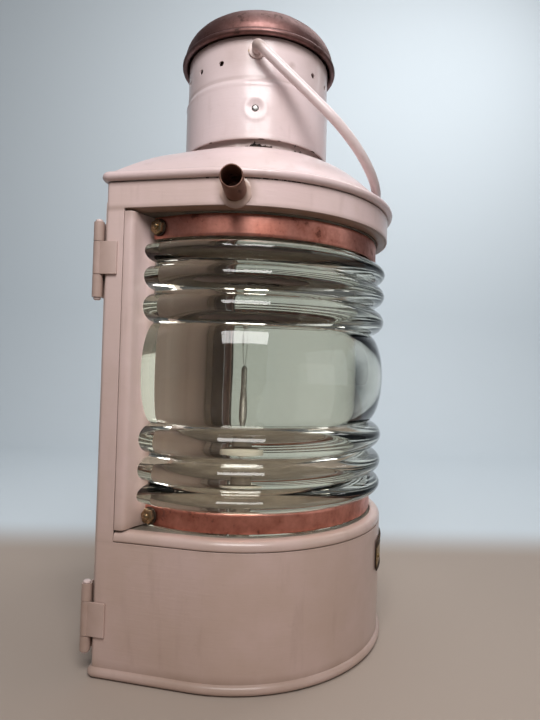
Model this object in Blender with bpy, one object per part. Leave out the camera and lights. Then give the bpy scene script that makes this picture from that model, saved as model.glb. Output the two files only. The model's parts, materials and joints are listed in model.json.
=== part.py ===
"""A ship's masthead lantern: sheet metal body, drum lens, hood, chimney and bail.

Front is -Y, the starboard side is -X and up is +Z.  The origin is on the lens
axis, in the plane of the underside.  Sizes are in metres.  Angles round the
lantern are called bearings: 0 is dead ahead, +90 degrees is the starboard beam.
"""

from math import cos, pi, radians, sin, sqrt

import bpy
import bmesh
from mathutils import Vector

# Driving dimensions
SHEET = 0.0012                 # thickness of the body sheets
GAP = 0.0003                   # gap between pieces that touch
BODY_R = 0.1058                # round front of the body, and half its width
BODY_REAR = 0.0629             # the flat back lies this far behind the lens axis
REAR_CORNER_R = 0.003
FOOT_BEAD_R = 0.003            # wired edge that the lantern stands on
BASE_PLATE = 0.0015
BASE_TOP = 0.0820              # the base wall ends here, under the sill
SILL_Z = 0.0890                # inner edge of the sill
SKIRT_Z = 0.2850               # lower edge of the skirt over the window
BODY_TOP = 0.3009
WINDOW_REAR = 0.0504           # the window surround reaches back to here
FOLD_Y = 0.0440                # fold between side wall and jamb
SURROUND_DEPTH = 0.0071        # sill and soffit reach this far in from the body's face
JAMB_R = (0.0860, 0.1045)      # edges of the wall that the lens ends against
JAMB_SPACE = 0.0018            # the jamb stands this far behind the lens's end
DECK_INSET = 0.0076            # edge of the inner decks, in from the body's face
DECK_VENT_R = 0.050
BACK_HOLE = (0.0900, 0.0120, 0.2820)   # half width, lower and upper edge
HOOD_BEAD_Z = 0.3043
HOOD_BEAD_R = 0.0029
HOOD_TOP_Z = 0.3378
HOOD_TOP_R = 0.0560
CHIMNEY_Y = -0.0043            # the chimney stands a little ahead of the lens axis
CHIMNEY_R = 0.0541
CHIMNEY_Z = (0.3455, 0.4125)
CHIMNEY_WALL = 0.0011
SWAGE_Z = 0.3845
SLIM_R = CHIMNEY_R - 0.0008    # the chimney is drawn in above its swage
NECK_R = 0.0503
NECK_Z = (0.3300, 0.3780)
CHIMNEY_SCREW_Z = 0.3668
VENT_Z = 0.4000
VENT_R = 0.0019
VENT_OFFSETS = (27.5, 48.5, 69.5, 90.5, 110.5, 131.5, 152.5)   # degrees to either side of a pivot
TOP_TURN = radians(77.5)       # bearing of the bail's starboard pivot
CAP_RIM_Z = 0.4205
CAP_R = 0.0572
CAP_H = 0.0315
CAP_LIP_R = 0.0590
LENS_HALF = radians(112.5)     # a masthead light shows over 225 degrees
LENS_R = 0.1050                # crests of the lens
LENS_GROOVE_R = 0.0938
LENS_FLANGE_R = 0.0955
LENS_INNER_R = 0.0855
LENS_MID_Z = 0.1848            # height of the flame, or of the filament
LENS_Z = (0.0885, 0.2831)
BAND_R = (0.0965, 0.0980)      # inner and outer radius of the copper bands
UPPER_BAND_Z = (0.2690, 0.2825)
LOWER_BAND_Z = (0.0905, 0.1023)
BAND_SCREW_BEARING = radians(109.4)
BAND_SHANK_R = 0.0020
BAND_NUT_R = 0.0054
TUBE_BEARING = radians(79.5)
TUBE_Z = 0.2930
TUBE_R = 0.0066
TUBE_WALL = 0.0011
TUBE_END_R = 0.1325
PLATE_Z = (0.0505, 0.0715)     # the blank nameplate on the front of the base
PLATE_HALF = radians(11)
PLATE_RIVET = radians(9)
LAMP_FOOT_R = 0.0240
PEDESTAL_TOP = 0.1360
SOCKET_R = 0.0170
SOCKET_TOP = 0.1620
BULB_CAP_R = 0.0126
BULB_R = 0.0180
BULB_LOW = 0.1653
BULB_CROWN_Z = 0.1950
BAIL_Z = 0.4065
BAIL_ROD_R = 0.0034
BAIL_HALF = 0.0632             # leg centre lines from the lantern's middle, clear of the cap
BAIL_END = 0.0500              # the bent-in ends reach this near to the chimney's axis
BAIL_BEND = 0.0045
BAIL_REACH = 0.1270            # pivot axis to the middle of the grip
BAIL_DROP = radians(43.5)      # resting slope below horizontal
BAIL_BUSH_R = 0.0046
BAIL_FLANGE_R = 0.0060
DOOR_PLATE = (-0.1014, 0.1035, 0.0080, 0.2930)   # left, right, lower and upper edge
DOOR_FLANGE = (-0.0885, 0.0885, 0.0135, 0.2805)
DOOR_DEPTH = 0.0065
DOOR_CORNER = 0.003
DOOR_THICK = 0.0014
DOOR_GAP = 0.0007
HINGE_X = -0.1049
HINGE_Y = 0.0670
KNUCKLE_R = 0.0032
PIN_R = 0.0016
PIN_CLEAR = 0.00006            # running clearance of every pivot
UPPER_HINGE = (0.2305, 0.2445, 0.2646, 0.2766)
LOWER_HINGE = (0.0150, 0.0244, 0.0450, 0.0557)
LATCH_X = 0.0840
LATCH_Z = 0.1500
LATCH_PIN_R = 0.0020
LATCH_HALF = 0.0045
LATCH_ARM = 0.0290

FRONT_STEPS = 28               # facets of the half-round front
ROUND_STEPS = 32

PAINT = ("cream_paint", (0.62, 0.50, 0.48), 0.45, 0.0)
COPPER = ("copper", (0.72, 0.33, 0.24), 0.35, 1.0)
OLD_COPPER = ("old_copper", (0.35, 0.18, 0.15), 0.5, 1.0)
BRONZE = ("dark_bronze", (0.20, 0.14, 0.09), 0.5, 1.0)
GLASS = ("lens_glass", (0.85, 0.90, 0.82), 0.05, 0.0)
SEALER = ("lens_putty", (0.30, 0.27, 0.25), 0.8, 0.0)
BRASS = ("brass", (0.66, 0.50, 0.26), 0.35, 1.0)
PORCELAIN = ("porcelain", (0.80, 0.78, 0.72), 0.25, 0.0)
STEEL = ("steel", (0.45, 0.44, 0.42), 0.45, 1.0)


def clear_scene():
    """Remove every object of the open scene."""
    for item in list(bpy.data.objects):
        bpy.data.objects.remove(item, do_unlink=True)


def get_material(finish):
    """The material for a finish of (name, colour, roughness, metallic)."""
    name, colour, roughness, metallic = finish
    material = bpy.data.materials.get(name)
    if material is None:
        material = bpy.data.materials.new(name)
        material.use_nodes = True
        shader = material.node_tree.nodes["Principled BSDF"]
        shader.inputs["Base Color"].default_value = (*colour, 1.0)
        shader.inputs["Roughness"].default_value = roughness
        shader.inputs["Metallic"].default_value = metallic
    return material


def bearing_point(bearing, radius, z, across=0.0, centre_y=0.0):
    """A point at a radius on a bearing, moved sideways towards greater bearings."""
    x = -radius * sin(bearing) - across * cos(bearing)
    y = centre_y - radius * cos(bearing) + across * sin(bearing)
    return Vector((x, y, z))


def arc(start, end, steps):
    """Evenly spaced values from start to end, both included."""
    return [start + (end - start) * i / steps for i in range(steps + 1)]


def skin(name, loops, finish, wrap=False, origin=(0.0, 0.0, 0.0), sharp=radians(35)):
    """Skin a row of closed loops: joined end to end if wrap is set, else capped."""
    shift = Vector(origin)
    mesh = bpy.data.meshes.new(name)
    work = bmesh.new()
    rows = [[work.verts.new(Vector(p) - shift) for p in loop] for loop in loops]
    count = len(rows[0])
    pairs = list(zip(rows, rows[1:]))
    if wrap:
        pairs.append((rows[-1], rows[0]))
    else:
        work.faces.new(rows[0])
        work.faces.new(rows[-1])
    for first, second in pairs:
        for i in range(count):
            j = (i + 1) % count
            work.faces.new((first[i], first[j], second[j], second[i]))
    bmesh.ops.recalc_face_normals(work, faces=work.faces)
    if work.calc_volume(signed=True) < 0.0:
        bmesh.ops.reverse_faces(work, faces=work.faces)
    work.to_mesh(mesh)
    work.free()
    mesh.shade_smooth()
    mesh.set_sharp_from_angle(angle=sharp)
    mesh.materials.append(get_material(finish))
    item = bpy.data.objects.new(name, mesh)
    item.location = shift
    bpy.context.scene.collection.objects.link(item)
    return item


def combine(item, tools, operation="DIFFERENCE"):
    """Cut each tool from the item, or join it on; the tools are only guides."""
    for tool in tools:
        tool.display_type = "WIRE"
        tool.hide_render = True
        step = item.modifiers.new(tool.name, "BOOLEAN")
        step.operation = operation
        step.solver = "EXACT"
        step.object = tool


def prism(name, outline, z_low, z_high, finish, origin=(0.0, 0.0, 0.0)):
    """A plan outline of (x, y) pairs raised between two heights."""
    loops = [[(x, y, z) for x, y in outline] for z in (z_low, z_high)]
    return skin(name, loops, finish, origin=origin)


def box(name, low, high, finish=PAINT, origin=(0.0, 0.0, 0.0)):
    """A block between two corners."""
    outline = [(low[0], low[1]), (high[0], low[1]), (high[0], high[1]), (low[0], high[1])]
    return prism(name, outline, low[2], high[2], finish, origin)


def turned(name, profile, finish, wrap=False, centre=(0.0, 0.0), steps=ROUND_STEPS):
    """Turn a profile of (radius, height) pairs about a vertical axis."""
    loops = []
    for radius, z in profile:
        angles = arc(0.0, 2 * pi, steps)[:-1]
        loops.append([(centre[0] + radius * cos(a), centre[1] + radius * sin(a), z) for a in angles])
    return skin(name, loops, finish, wrap=wrap)


def radial_stud(name, bearing, z, profile, finish, centre_y=0.0, sides=16):
    """Turn a profile of (stud radius, distance from the middle) about a bearing line."""
    out = bearing_point(bearing, 1.0, 0.0)
    across = Vector((-cos(bearing), sin(bearing), 0.0))
    up = Vector((0.0, 0.0, 1.0))
    loops = []
    for radius, distance in profile:
        middle = Vector((0.0, centre_y, z)) + out * distance
        turns = arc(0.0, 2 * pi, sides)[:-1]
        loops.append([middle + across * radius * cos(a) + up * radius * sin(a) for a in turns])
    return skin(name, loops, finish)


def body_loop(offset, z):
    """The D-shaped plan of the body at a height, grown outwards by an offset."""
    corner_r = max(REAR_CORNER_R + offset, 0.0005)
    corner_x = BODY_R + offset - corner_r
    corner_y = BODY_REAR + offset - corner_r
    stations = [(0.0, 0.0, BODY_R + offset, a) for a in arc(-pi / 2, pi / 2, FRONT_STEPS)]
    stations += [(-corner_x, y, corner_r, pi / 2) for y in arc(0.0, corner_y, 4)[1:-1]]
    stations += [(-corner_x, corner_y, corner_r, a) for a in arc(pi / 2, pi, 3)]
    stations += [(x, corner_y, corner_r, pi) for x in arc(-corner_x, corner_x, 12)[1:-1]]
    stations += [(corner_x, corner_y, corner_r, a) for a in arc(pi, 1.5 * pi, 3)]
    stations += [(corner_x, y, corner_r, 1.5 * pi) for y in arc(corner_y, 0.0, 4)[1:-1]]
    return [(cx - r * sin(a), cy - r * cos(a), z) for cx, cy, r, a in stations]


def chimney_loop(radius, z):
    """A circle round the chimney's axis with one point for each point of the body plan."""
    points = []
    for x, y, _ in body_loop(0.0, z):
        length = sqrt(x * x + (y - CHIMNEY_Y) ** 2)
        points.append((radius * x / length, CHIMNEY_Y + radius * (y - CHIMNEY_Y) / length, z))
    return points


def bead_profile(offset, z, radius, start, end, steps):
    """Part of a rolled bead's section, as (offset, height) pairs."""
    turns = arc(radians(start), radians(end), steps)
    return [(offset + radius * cos(a), z + radius * sin(a)) for a in turns]


def build_body_shell():
    """The wrapped sheet of the body, with its window, back hole and tube hole."""
    bead_offset = -0.2 * FOOT_BEAD_R
    profile = [(0.0, BODY_TOP)]
    profile += bead_profile(bead_offset, FOOT_BEAD_R, FOOT_BEAD_R, 78, -258, 7)
    profile += [(-SHEET, BODY_TOP)]
    shell = skin("body_shell", [body_loop(o, z) for o, z in profile], PAINT, wrap=True)
    far = BODY_R + 0.03
    window = box("cut_window", (-far, -far, BASE_TOP), (far, WINDOW_REAR, SKIRT_Z))
    half, low, high = BACK_HOLE
    door = box("cut_door", (-half, WINDOW_REAR, low), (half, far, high))
    hole_r = TUBE_R + GAP
    hole_span = [(hole_r, BODY_R - 0.010), (hole_r, BODY_R + 0.010)]
    hole = radial_stud("cut_tube_hole", TUBE_BEARING, TUBE_Z, hole_span, PAINT, sides=20)
    combine(shell, [window, door, hole])


def build_base_plate():
    """The bottom plate, inside the wired foot."""
    inset = -2 * FOOT_BEAD_R
    loops = [body_loop(inset, 0.0), body_loop(inset, BASE_PLATE)]
    skin("base_plate", loops, PAINT)


def surround_sweep(name, profile, rear):
    """Sweep a profile of (offset, height) pairs round the front, from side to side."""
    stations = [(rear, pi / 2)]
    stations += [(0.0, a) for a in arc(pi / 2, -pi / 2, FRONT_STEPS)]
    stations += [(rear, -pi / 2)]
    loops = []
    for y, a in stations:
        loops.append([bearing_point(a, BODY_R + o, z, centre_y=y) for o, z in profile])
    skin(name, loops, PAINT)


def build_window_surround():
    """The sill, the soffit and the two jambs that frame the lens."""
    sill = [
        (0.0, BASE_TOP + GAP), (-0.0004, SILL_Z - 0.0035), (-0.0016, SILL_Z - 0.0012),
        (-0.0026, SILL_Z - 0.0007), (-SURROUND_DEPTH, SILL_Z), (-SURROUND_DEPTH, SILL_Z - 0.0014),
        (-0.0029, SILL_Z - 0.0021), (-0.0015, SILL_Z - 0.0045), (-0.0013, BASE_TOP + GAP),
    ]
    surround_sweep("sill_ring", sill, WINDOW_REAR - GAP)
    soffit = [
        (-0.0016, SKIRT_Z + 0.0010), (-0.0016, SKIRT_Z - 0.0002),
        (-SURROUND_DEPTH, SKIRT_Z - 0.0014), (-SURROUND_DEPTH, SKIRT_Z),
    ]
    surround_sweep("soffit_ring", soffit, WINDOW_REAR - GAP)
    inner, outer = JAMB_R
    for side, sign in (("starboard", 1), ("port", -1)):
        near = bearing_point(LENS_HALF, outer, 0.0, across=JAMB_SPACE)
        deep = bearing_point(LENS_HALF, inner, 0.0, across=JAMB_SPACE)
        deep_back = bearing_point(LENS_HALF, inner, 0.0, across=JAMB_SPACE + SHEET)
        near_back = bearing_point(LENS_HALF, outer - GAP, 0.0, across=JAMB_SPACE + SHEET)
        outline = [
            (-BODY_R, WINDOW_REAR - GAP), (-BODY_R, FOLD_Y), near.xy, deep.xy,
            deep_back.xy, near_back.xy, (SHEET - BODY_R, FOLD_Y + 0.0009),
            (SHEET - BODY_R, WINDOW_REAR - GAP),
        ]
        outline = [(sign * x, y) for x, y in outline]
        prism(f"jamb_{side}", outline, SILL_Z + GAP, SKIRT_Z - 0.0018, PAINT)


def build_decks():
    """The two inner plates that the lens stands between."""
    deck = [body_loop(-DECK_INSET, SILL_Z - 0.0024), body_loop(-DECK_INSET, SILL_Z - 0.0010)]
    skin("lower_deck", deck, PAINT)
    low = SKIRT_Z - 0.0014
    high = SKIRT_Z
    ring = [body_loop(-DECK_INSET, low), body_loop(-DECK_INSET, high)]
    ring += [chimney_loop(DECK_VENT_R, high), chimney_loop(DECK_VENT_R, low)]
    skin("upper_deck", ring, PAINT, wrap=True)


def build_hood():
    """The hood: a rolled rim on the body's plan, drawn in to the round neck."""
    bead = bead_profile(0.0005, HOOD_BEAD_Z, HOOD_BEAD_R, 100, -180, 6)
    loops = [body_loop(o, z) for o, z in bead]
    loops.append(chimney_loop(HOOD_TOP_R - 0.0010, HOOD_TOP_Z - 0.0014))
    loops.append(chimney_loop(NECK_R + 0.0006, HOOD_TOP_Z - 0.0006))
    loops.append(chimney_loop(NECK_R + 0.0006, HOOD_TOP_Z + 0.0006))
    loops.append(chimney_loop(HOOD_TOP_R, HOOD_TOP_Z))
    skin("hood", loops, PAINT, wrap=True)


def stud_tools(name, bearings, z, radius, distance, centre_y, sides=10):
    """Cutters for small round holes through a wall that stands at a distance."""
    span = [(radius, distance - 0.004), (radius, distance + 0.004)]
    tools = []
    for i, bearing in enumerate(bearings):
        tools.append(radial_stud(f"{name}_{i}", bearing, z, span, PAINT, centre_y, sides))
    return tools


def build_chimney():
    """The chimney with its swage and holes, and the neck that it slides over."""
    sides = (TOP_TURN, TOP_TURN + pi)
    centre = (0.0, CHIMNEY_Y)
    low, high = CHIMNEY_Z
    outer = [
        (CHIMNEY_R, low), (CHIMNEY_R, SWAGE_Z - 0.0025), (CHIMNEY_R + 0.0005, SWAGE_Z),
        (SLIM_R, SWAGE_Z + 0.0020), (SLIM_R, high),
    ]
    inner = [(r - CHIMNEY_WALL, z) for r, z in reversed(outer)]
    chimney = turned("chimney", outer + inner, PAINT, wrap=True, centre=centre)
    offsets = [radians(a) for a in VENT_OFFSETS]
    closed_vent = TOP_TURN - offsets[0]
    vents = [TOP_TURN + a for a in offsets] + [TOP_TURN - a for a in offsets]
    vents.remove(closed_vent)
    pivot_hole = BAIL_BUSH_R + GAP
    tools = stud_tools("cut_vent", vents, VENT_Z, VENT_R, SLIM_R, CHIMNEY_Y, sides=8)
    tools += stud_tools("cut_screw", sides, CHIMNEY_SCREW_Z, 0.0026, CHIMNEY_R, CHIMNEY_Y)
    tools += stud_tools("cut_pivot", sides, BAIL_Z, pivot_hole, SLIM_R, CHIMNEY_Y, sides=12)
    combine(chimney, tools)
    low, high = NECK_Z
    inner_r = NECK_R - CHIMNEY_WALL
    neck = [(NECK_R, low), (NECK_R, high), (inner_r, high), (inner_r, low)]
    pipe = turned("chimney_neck", neck, STEEL, wrap=True, centre=centre)
    combine(pipe, stud_tools("cut_neck", sides, CHIMNEY_SCREW_Z, 0.0025, NECK_R, CHIMNEY_Y))
    for side, bearing in zip(("starboard", "port"), sides):
        build_chimney_fasteners(side, bearing)


def build_chimney_fasteners(side, bearing):
    """The screw that holds the chimney to its neck, and the bush that the bail turns in."""
    shank = 0.0022
    screw = [
        (0.0010, NECK_R - 0.0025), (shank, NECK_R - 0.0019),
        (shank, CHIMNEY_R - 0.0001), (0.0016, CHIMNEY_R + 0.0004),
    ]
    radial_stud(f"chimney_screw_{side}", bearing, CHIMNEY_SCREW_Z, screw, STEEL, CHIMNEY_Y, 12)
    bush = [
        (BAIL_BUSH_R, SLIM_R - 0.0021), (BAIL_BUSH_R, SLIM_R + GAP),
        (BAIL_FLANGE_R, SLIM_R + GAP), (BAIL_FLANGE_R, SLIM_R + 0.0013),
    ]
    ring = radial_stud(f"bail_bush_{side}", bearing, BAIL_Z, bush, BRASS, CHIMNEY_Y, 20)
    bore_r = BAIL_ROD_R + PIN_CLEAR
    bore = [(bore_r, SLIM_R - 0.004), (bore_r, SLIM_R + 0.004)]
    combine(ring, [radial_stud(f"cut_bush_{side}", bearing, BAIL_Z, bore, BRASS, CHIMNEY_Y, 20)])


def build_cap():
    """The domed cap with its rolled lip, and the three straps that carry it."""
    angles = arc(radians(88), 0.0, 6)
    outer = [(CAP_R * cos(a), CAP_RIM_Z + CAP_H * sin(a)) for a in angles]
    shoulder = CAP_LIP_R - 0.0006
    lip_low = CAP_RIM_Z - 0.0050
    outer += [(shoulder, CAP_RIM_Z - 0.0004), (CAP_LIP_R, CAP_RIM_Z - 0.0025), (shoulder, lip_low)]
    inner_r = CAP_R - SHEET
    inner_h = CAP_H - SHEET
    inner = [(inner_r * cos(a), CAP_RIM_Z + inner_h * sin(a)) for a in reversed(angles)]
    lip = [(CAP_R + 0.0002, lip_low), (CAP_R, CAP_RIM_Z - 0.0010)]
    turned("cap", outer + lip + inner, OLD_COPPER, centre=(0.0, CHIMNEY_Y), steps=28)
    strap_r = CHIMNEY_R - 0.0033
    strap_thick = 0.0010
    strap_half = 0.0040
    for i in range(3):
        bearing = TOP_TURN + radians(39 + 120 * i)
        corners = []
        for out in (0.0, strap_thick):
            across = strap_half if out else -strap_half
            for turn in (across, -across):
                point = bearing_point(bearing, strap_r + out, 0.0, turn, CHIMNEY_Y)
                corners.append(point.xy)
        prism(f"cap_strap_{i + 1}", corners, 0.3960, 0.4300, BRASS)


def lens_profile():
    """Section of the drum lens: a belt and three rounded rings above and below it."""
    rings = [(-0.0762, 0.0062), (-0.0602, 0.0080), (-0.0411, 0.0092), (0.0, 0.0318)]
    rings += [(-z, half) for z, half in reversed(rings[:-1])]
    low, high = LENS_Z
    neck = rings[-1][0] + rings[-1][1] + 0.0012
    outer = [(LENS_FLANGE_R, low), (LENS_FLANGE_R, LENS_MID_Z - neck)]
    depth = LENS_R - LENS_GROOVE_R
    for middle, half in rings:
        steps = 8 if middle == 0.0 else 4
        for a in arc(-pi / 2, pi / 2, steps)[:-1]:
            outer.append((LENS_GROOVE_R + depth * cos(a), LENS_MID_Z + middle + half * sin(a)))
    outer += [(LENS_GROOVE_R, LENS_MID_Z + neck - 0.0012)]
    outer += [(LENS_FLANGE_R, LENS_MID_Z + neck), (LENS_FLANGE_R, high)]
    return outer + [(LENS_INNER_R, high), (LENS_INNER_R, low)]


def sector_sweep(name, profile, half_angle, finish, steps):
    """Sweep a profile of (radius, height) pairs round the front, between two bearings."""
    loops = []
    for a in arc(-half_angle, half_angle, steps):
        loops.append([bearing_point(a, r, z) for r, z in profile])
    return skin(name, loops, finish)


def build_lens():
    """The pressed drum lens, and the putty that beds its two upright ends."""
    sector_sweep("lens", lens_profile(), LENS_HALF, GLASS, 26)
    for side, sign in (("starboard", 1), ("port", -1)):
        outline = []
        for r, across in ((0.0865, GAP), (0.0945, GAP), (0.0945, 0.0015), (0.0865, 0.0015)):
            point = bearing_point(LENS_HALF, r, 0.0, across)
            outline.append((sign * point.x, point.y))
        prism(f"lens_seal_{side}", outline, LENS_Z[0] + 0.0010, LENS_Z[1] - 0.0010, SEALER)


def build_bands():
    """The copper bands over the lens's flanges, each held by a screw at either end."""
    inner, outer = BAND_R
    end = LENS_HALF - radians(0.3)
    hole_r = BAND_SHANK_R + GAP
    for level, (low, high) in (("upper", UPPER_BAND_Z), ("lower", LOWER_BAND_Z)):
        profile = [(inner, low), (outer, low), (outer, high), (inner, high)]
        band = sector_sweep(f"{level}_band", profile, end, COPPER, 26)
        middle = (low + high) / 2
        bearings = (BAND_SCREW_BEARING, -BAND_SCREW_BEARING)
        combine(band, stud_tools(f"cut_{level}_band", bearings, middle, hole_r, outer, 0.0))
        for side, bearing in zip(("starboard", "port"), bearings):
            shank = [(BAND_SHANK_R, inner - 0.0002), (BAND_SHANK_R, outer + GAP)]
            nut = [(BAND_NUT_R, outer + GAP), (BAND_NUT_R, outer + 0.0048), (0.0040, outer + 0.0056)]
            name = f"{level}_band_screw_{side}"
            screw = radial_stud(name, bearing, middle, shank, BRONZE, sides=12)
            top = radial_stud(f"join_{name}", bearing, middle, nut, BRONZE, sides=6)
            combine(screw, [top], "UNION")


def build_side_tube():
    """The open tube through the skirt, where the lamp's cable goes in."""
    start = BODY_R - 0.0098
    past = 0.002
    inner_r = TUBE_R - TUBE_WALL
    tube = [(TUBE_R, start), (TUBE_R, TUBE_END_R)]
    bore = [(inner_r, start - past), (inner_r, TUBE_END_R + past)]
    pipe = radial_stud("side_tube", TUBE_BEARING, TUBE_Z, tube, OLD_COPPER, sides=20)
    combine(pipe, [radial_stud("cut_side_tube", TUBE_BEARING, TUBE_Z, bore, OLD_COPPER, sides=20)])


def build_nameplate():
    """A blank brass plate on the front of the base, and its two rivets."""
    near = BODY_R + 0.0005
    face = near + 0.0010
    low, high = PLATE_Z
    middle = (low + high) / 2
    sector_sweep("nameplate", [(near, low), (face, low), (face, high), (near, high)], PLATE_HALF, BRASS, 6)
    for side, sign in (("starboard", 1), ("port", -1)):
        rivet = [(0.0017, face + GAP), (0.0017, face + 0.0008), (0.0010, face + 0.0014)]
        radial_stud(f"nameplate_rivet_{side}", sign * PLATE_RIVET, middle, rivet, BRASS, sides=10)


def build_lamp():
    """The lamp that stands on the lower deck, with its filament at the lens's height."""
    deck = SILL_Z - 0.0010 + GAP
    pedestal = [
        (LAMP_FOOT_R, deck), (LAMP_FOOT_R, deck + 0.0020), (0.0090, deck + 0.0040),
        (0.0080, PEDESTAL_TOP - 0.0060), (0.0140, PEDESTAL_TOP),
    ]
    turned("lamp_pedestal", pedestal, PAINT, steps=16)
    low = PEDESTAL_TOP + GAP
    floor = low + 0.0057
    well_r = BULB_CAP_R + 0.0006
    socket = [
        (0.0080, low), (SOCKET_R - 0.0010, low), (SOCKET_R, low + 0.0017),
        (SOCKET_R, SOCKET_TOP - 0.0020), (SOCKET_R - 0.0020, SOCKET_TOP),
        (well_r, SOCKET_TOP), (well_r, floor), (0.0080, floor),
    ]
    turned("lamp_socket", socket, PORCELAIN, steps=16)
    cap_low = floor + GAP
    cap_high = BULB_LOW - GAP
    cap = [
        (0.0100, cap_low), (BULB_CAP_R, cap_low + 0.0010),
        (BULB_CAP_R, cap_high - 0.0010), (0.0100, cap_high),
    ]
    turned("bulb_cap", cap, BRASS, steps=16)
    wall = 0.0010
    crown = arc(radians(80), 0.0, 4)
    outer = [(BULB_R * cos(a), BULB_CROWN_Z + BULB_R * sin(a)) for a in crown]
    outer += [(BULB_R, BULB_LOW + 0.0127), (0.0110, BULB_LOW + 0.0037), (0.0100, BULB_LOW)]
    inner = [(r - wall, z) for r, z in reversed(outer[len(crown):])]
    hollow_r = BULB_R - wall
    inner += [(hollow_r * cos(a), BULB_CROWN_Z + hollow_r * sin(a)) for a in reversed(crown)]
    turned("bulb_glass", outer + inner, GLASS, steps=16)
    stem = [(0.0060, 0.0), (0.0030, 0.0045), (0.0022, 0.0125), (0.0022, 0.0205), (0.0010, 0.0220)]
    stem_low = BULB_LOW + 0.0002
    turned("filament_stem", [(r, stem_low + z) for r, z in stem], STEEL, steps=8)


def rounded_rectangle(x_low, x_high, z_low, z_high, y, corner):
    """A rectangle in an upright plane at y, with three facets to each corner."""
    points = []
    spots = ((x_high, z_high, 0.0), (x_low, z_high, pi / 2), (x_low, z_low, pi), (x_high, z_low, -pi / 2))
    for x, z, start in spots:
        middle_x = x - corner if x == x_high else x + corner
        middle_z = z - corner if z == z_high else z + corner
        for a in arc(start, start + pi / 2, 3):
            points.append((middle_x + corner * cos(a), y, middle_z + corner * sin(a)))
    return points


def build_rear_door():
    """A pressed door whose flange stands inside the opening of the back wall."""
    near = BODY_REAR + DOOR_GAP
    far = near + DOOR_THICK
    left, right, low, high = DOOR_FLANGE
    inner = (left + SHEET, right - SHEET, low + SHEET, high - SHEET)
    deep = near - DOOR_DEPTH
    rows = [
        (DOOR_PLATE, far), (DOOR_PLATE, near), (DOOR_FLANGE, near), (DOOR_FLANGE, deep),
        (inner, deep), (inner, near + 0.0002),
    ]
    loops = []
    for (x_low, x_high, z_low, z_high), y in rows:
        loops.append(rounded_rectangle(x_low, x_high, z_low, z_high, y, DOOR_CORNER))
    door = skin("rear_door", loops, PAINT, origin=(HINGE_X, HINGE_Y, 0.0))
    hole = round_stud_y("cut_latch_hole", LATCH_PIN_R + GAP, near - 0.003, far + 0.003, 12)
    combine(door, [hole])


def round_stud_y(name, radius, y_low, y_high, sides, finish=STEEL, head=None):
    """A stud on the latch's axis, with an optional head of (radius, thickness)."""
    steps = [(radius, y_low), (radius, y_high)]
    if head:
        steps += [(head[0], y_high), (head[0], y_high + head[1] * 0.7), (head[0] * 0.7, y_high + head[1])]
    loops = []
    for r, y in steps:
        turns = arc(0.0, 2 * pi, sides)[:-1]
        loops.append([(LATCH_X + r * cos(a), y, LATCH_Z + r * sin(a)) for a in turns])
    return skin(name, loops, finish)


def knuckle_outline(leaf_start, leaf_end, first, last):
    """Plan of a hinge leaf whose edge is rolled round the pin; angles in degrees."""
    turns = arc(radians(first), radians(last), 14)
    barrel = [(HINGE_X + KNUCKLE_R * cos(a), HINGE_Y + KNUCKLE_R * sin(a)) for a in turns]
    return [leaf_start] + barrel + [leaf_end]


def pin_hole(name, z_low, z_high):
    """A cutter for the hinge pin's bore."""
    radius = PIN_R + PIN_CLEAR
    profile = [(radius, z_low - 0.002), (radius, z_high + 0.002)]
    return turned(name, profile, STEEL, centre=(HINGE_X, HINGE_Y), steps=16)


def build_hinge(level, heights):
    """A butt hinge: one knuckle on the body, two on the door, and the pin."""
    bottom, lower, upper, top = heights
    wall = -BODY_R - GAP
    leaf = wall - SHEET
    leaf_front = 0.0537
    outline = knuckle_outline((leaf, leaf_front), (wall, leaf_front), 221.4, -112.0)
    body_leaf = prism(f"{level}_hinge_body_leaf", outline, lower, upper, PAINT)
    combine(body_leaf, [pin_hole(f"cut_{level}_body_leaf", lower, upper)])
    face = BODY_REAR + DOOR_GAP + DOOR_THICK + GAP
    origin = (HINGE_X, HINGE_Y, 0.0)
    leaf_low = (HINGE_X + KNUCKLE_R + 0.0004, face, bottom)
    leaf_high = (-0.0880, face + SHEET, top)
    door_leaf = box(f"{level}_hinge_door_leaf", leaf_low, leaf_high, PAINT, origin)
    inner_x = leaf_low[0] + 0.002
    outline = knuckle_outline((inner_x, face + SHEET), (inner_x, face), -9.0, -9.0 + 336.9)
    outline = list(reversed(outline))
    rolls = [
        prism(f"join_{level}_roll_low", outline, bottom, lower - GAP, PAINT),
        prism(f"join_{level}_roll_high", outline, upper + GAP, top, PAINT),
    ]
    combine(door_leaf, rolls, "UNION")
    combine(door_leaf, [pin_hole(f"cut_{level}_door_leaf", bottom, top)])
    head = 0.0023
    pin = [
        (0.0012, bottom - 0.0018), (head, bottom - 0.0013), (head, bottom - GAP),
        (PIN_R, bottom - GAP), (PIN_R, top + GAP), (head, top + GAP),
        (head, top + 0.0013), (0.0012, top + 0.0018),
    ]
    turned(f"{level}_hinge_pin", pin, STEEL, centre=(HINGE_X, HINGE_Y), steps=16)


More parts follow.
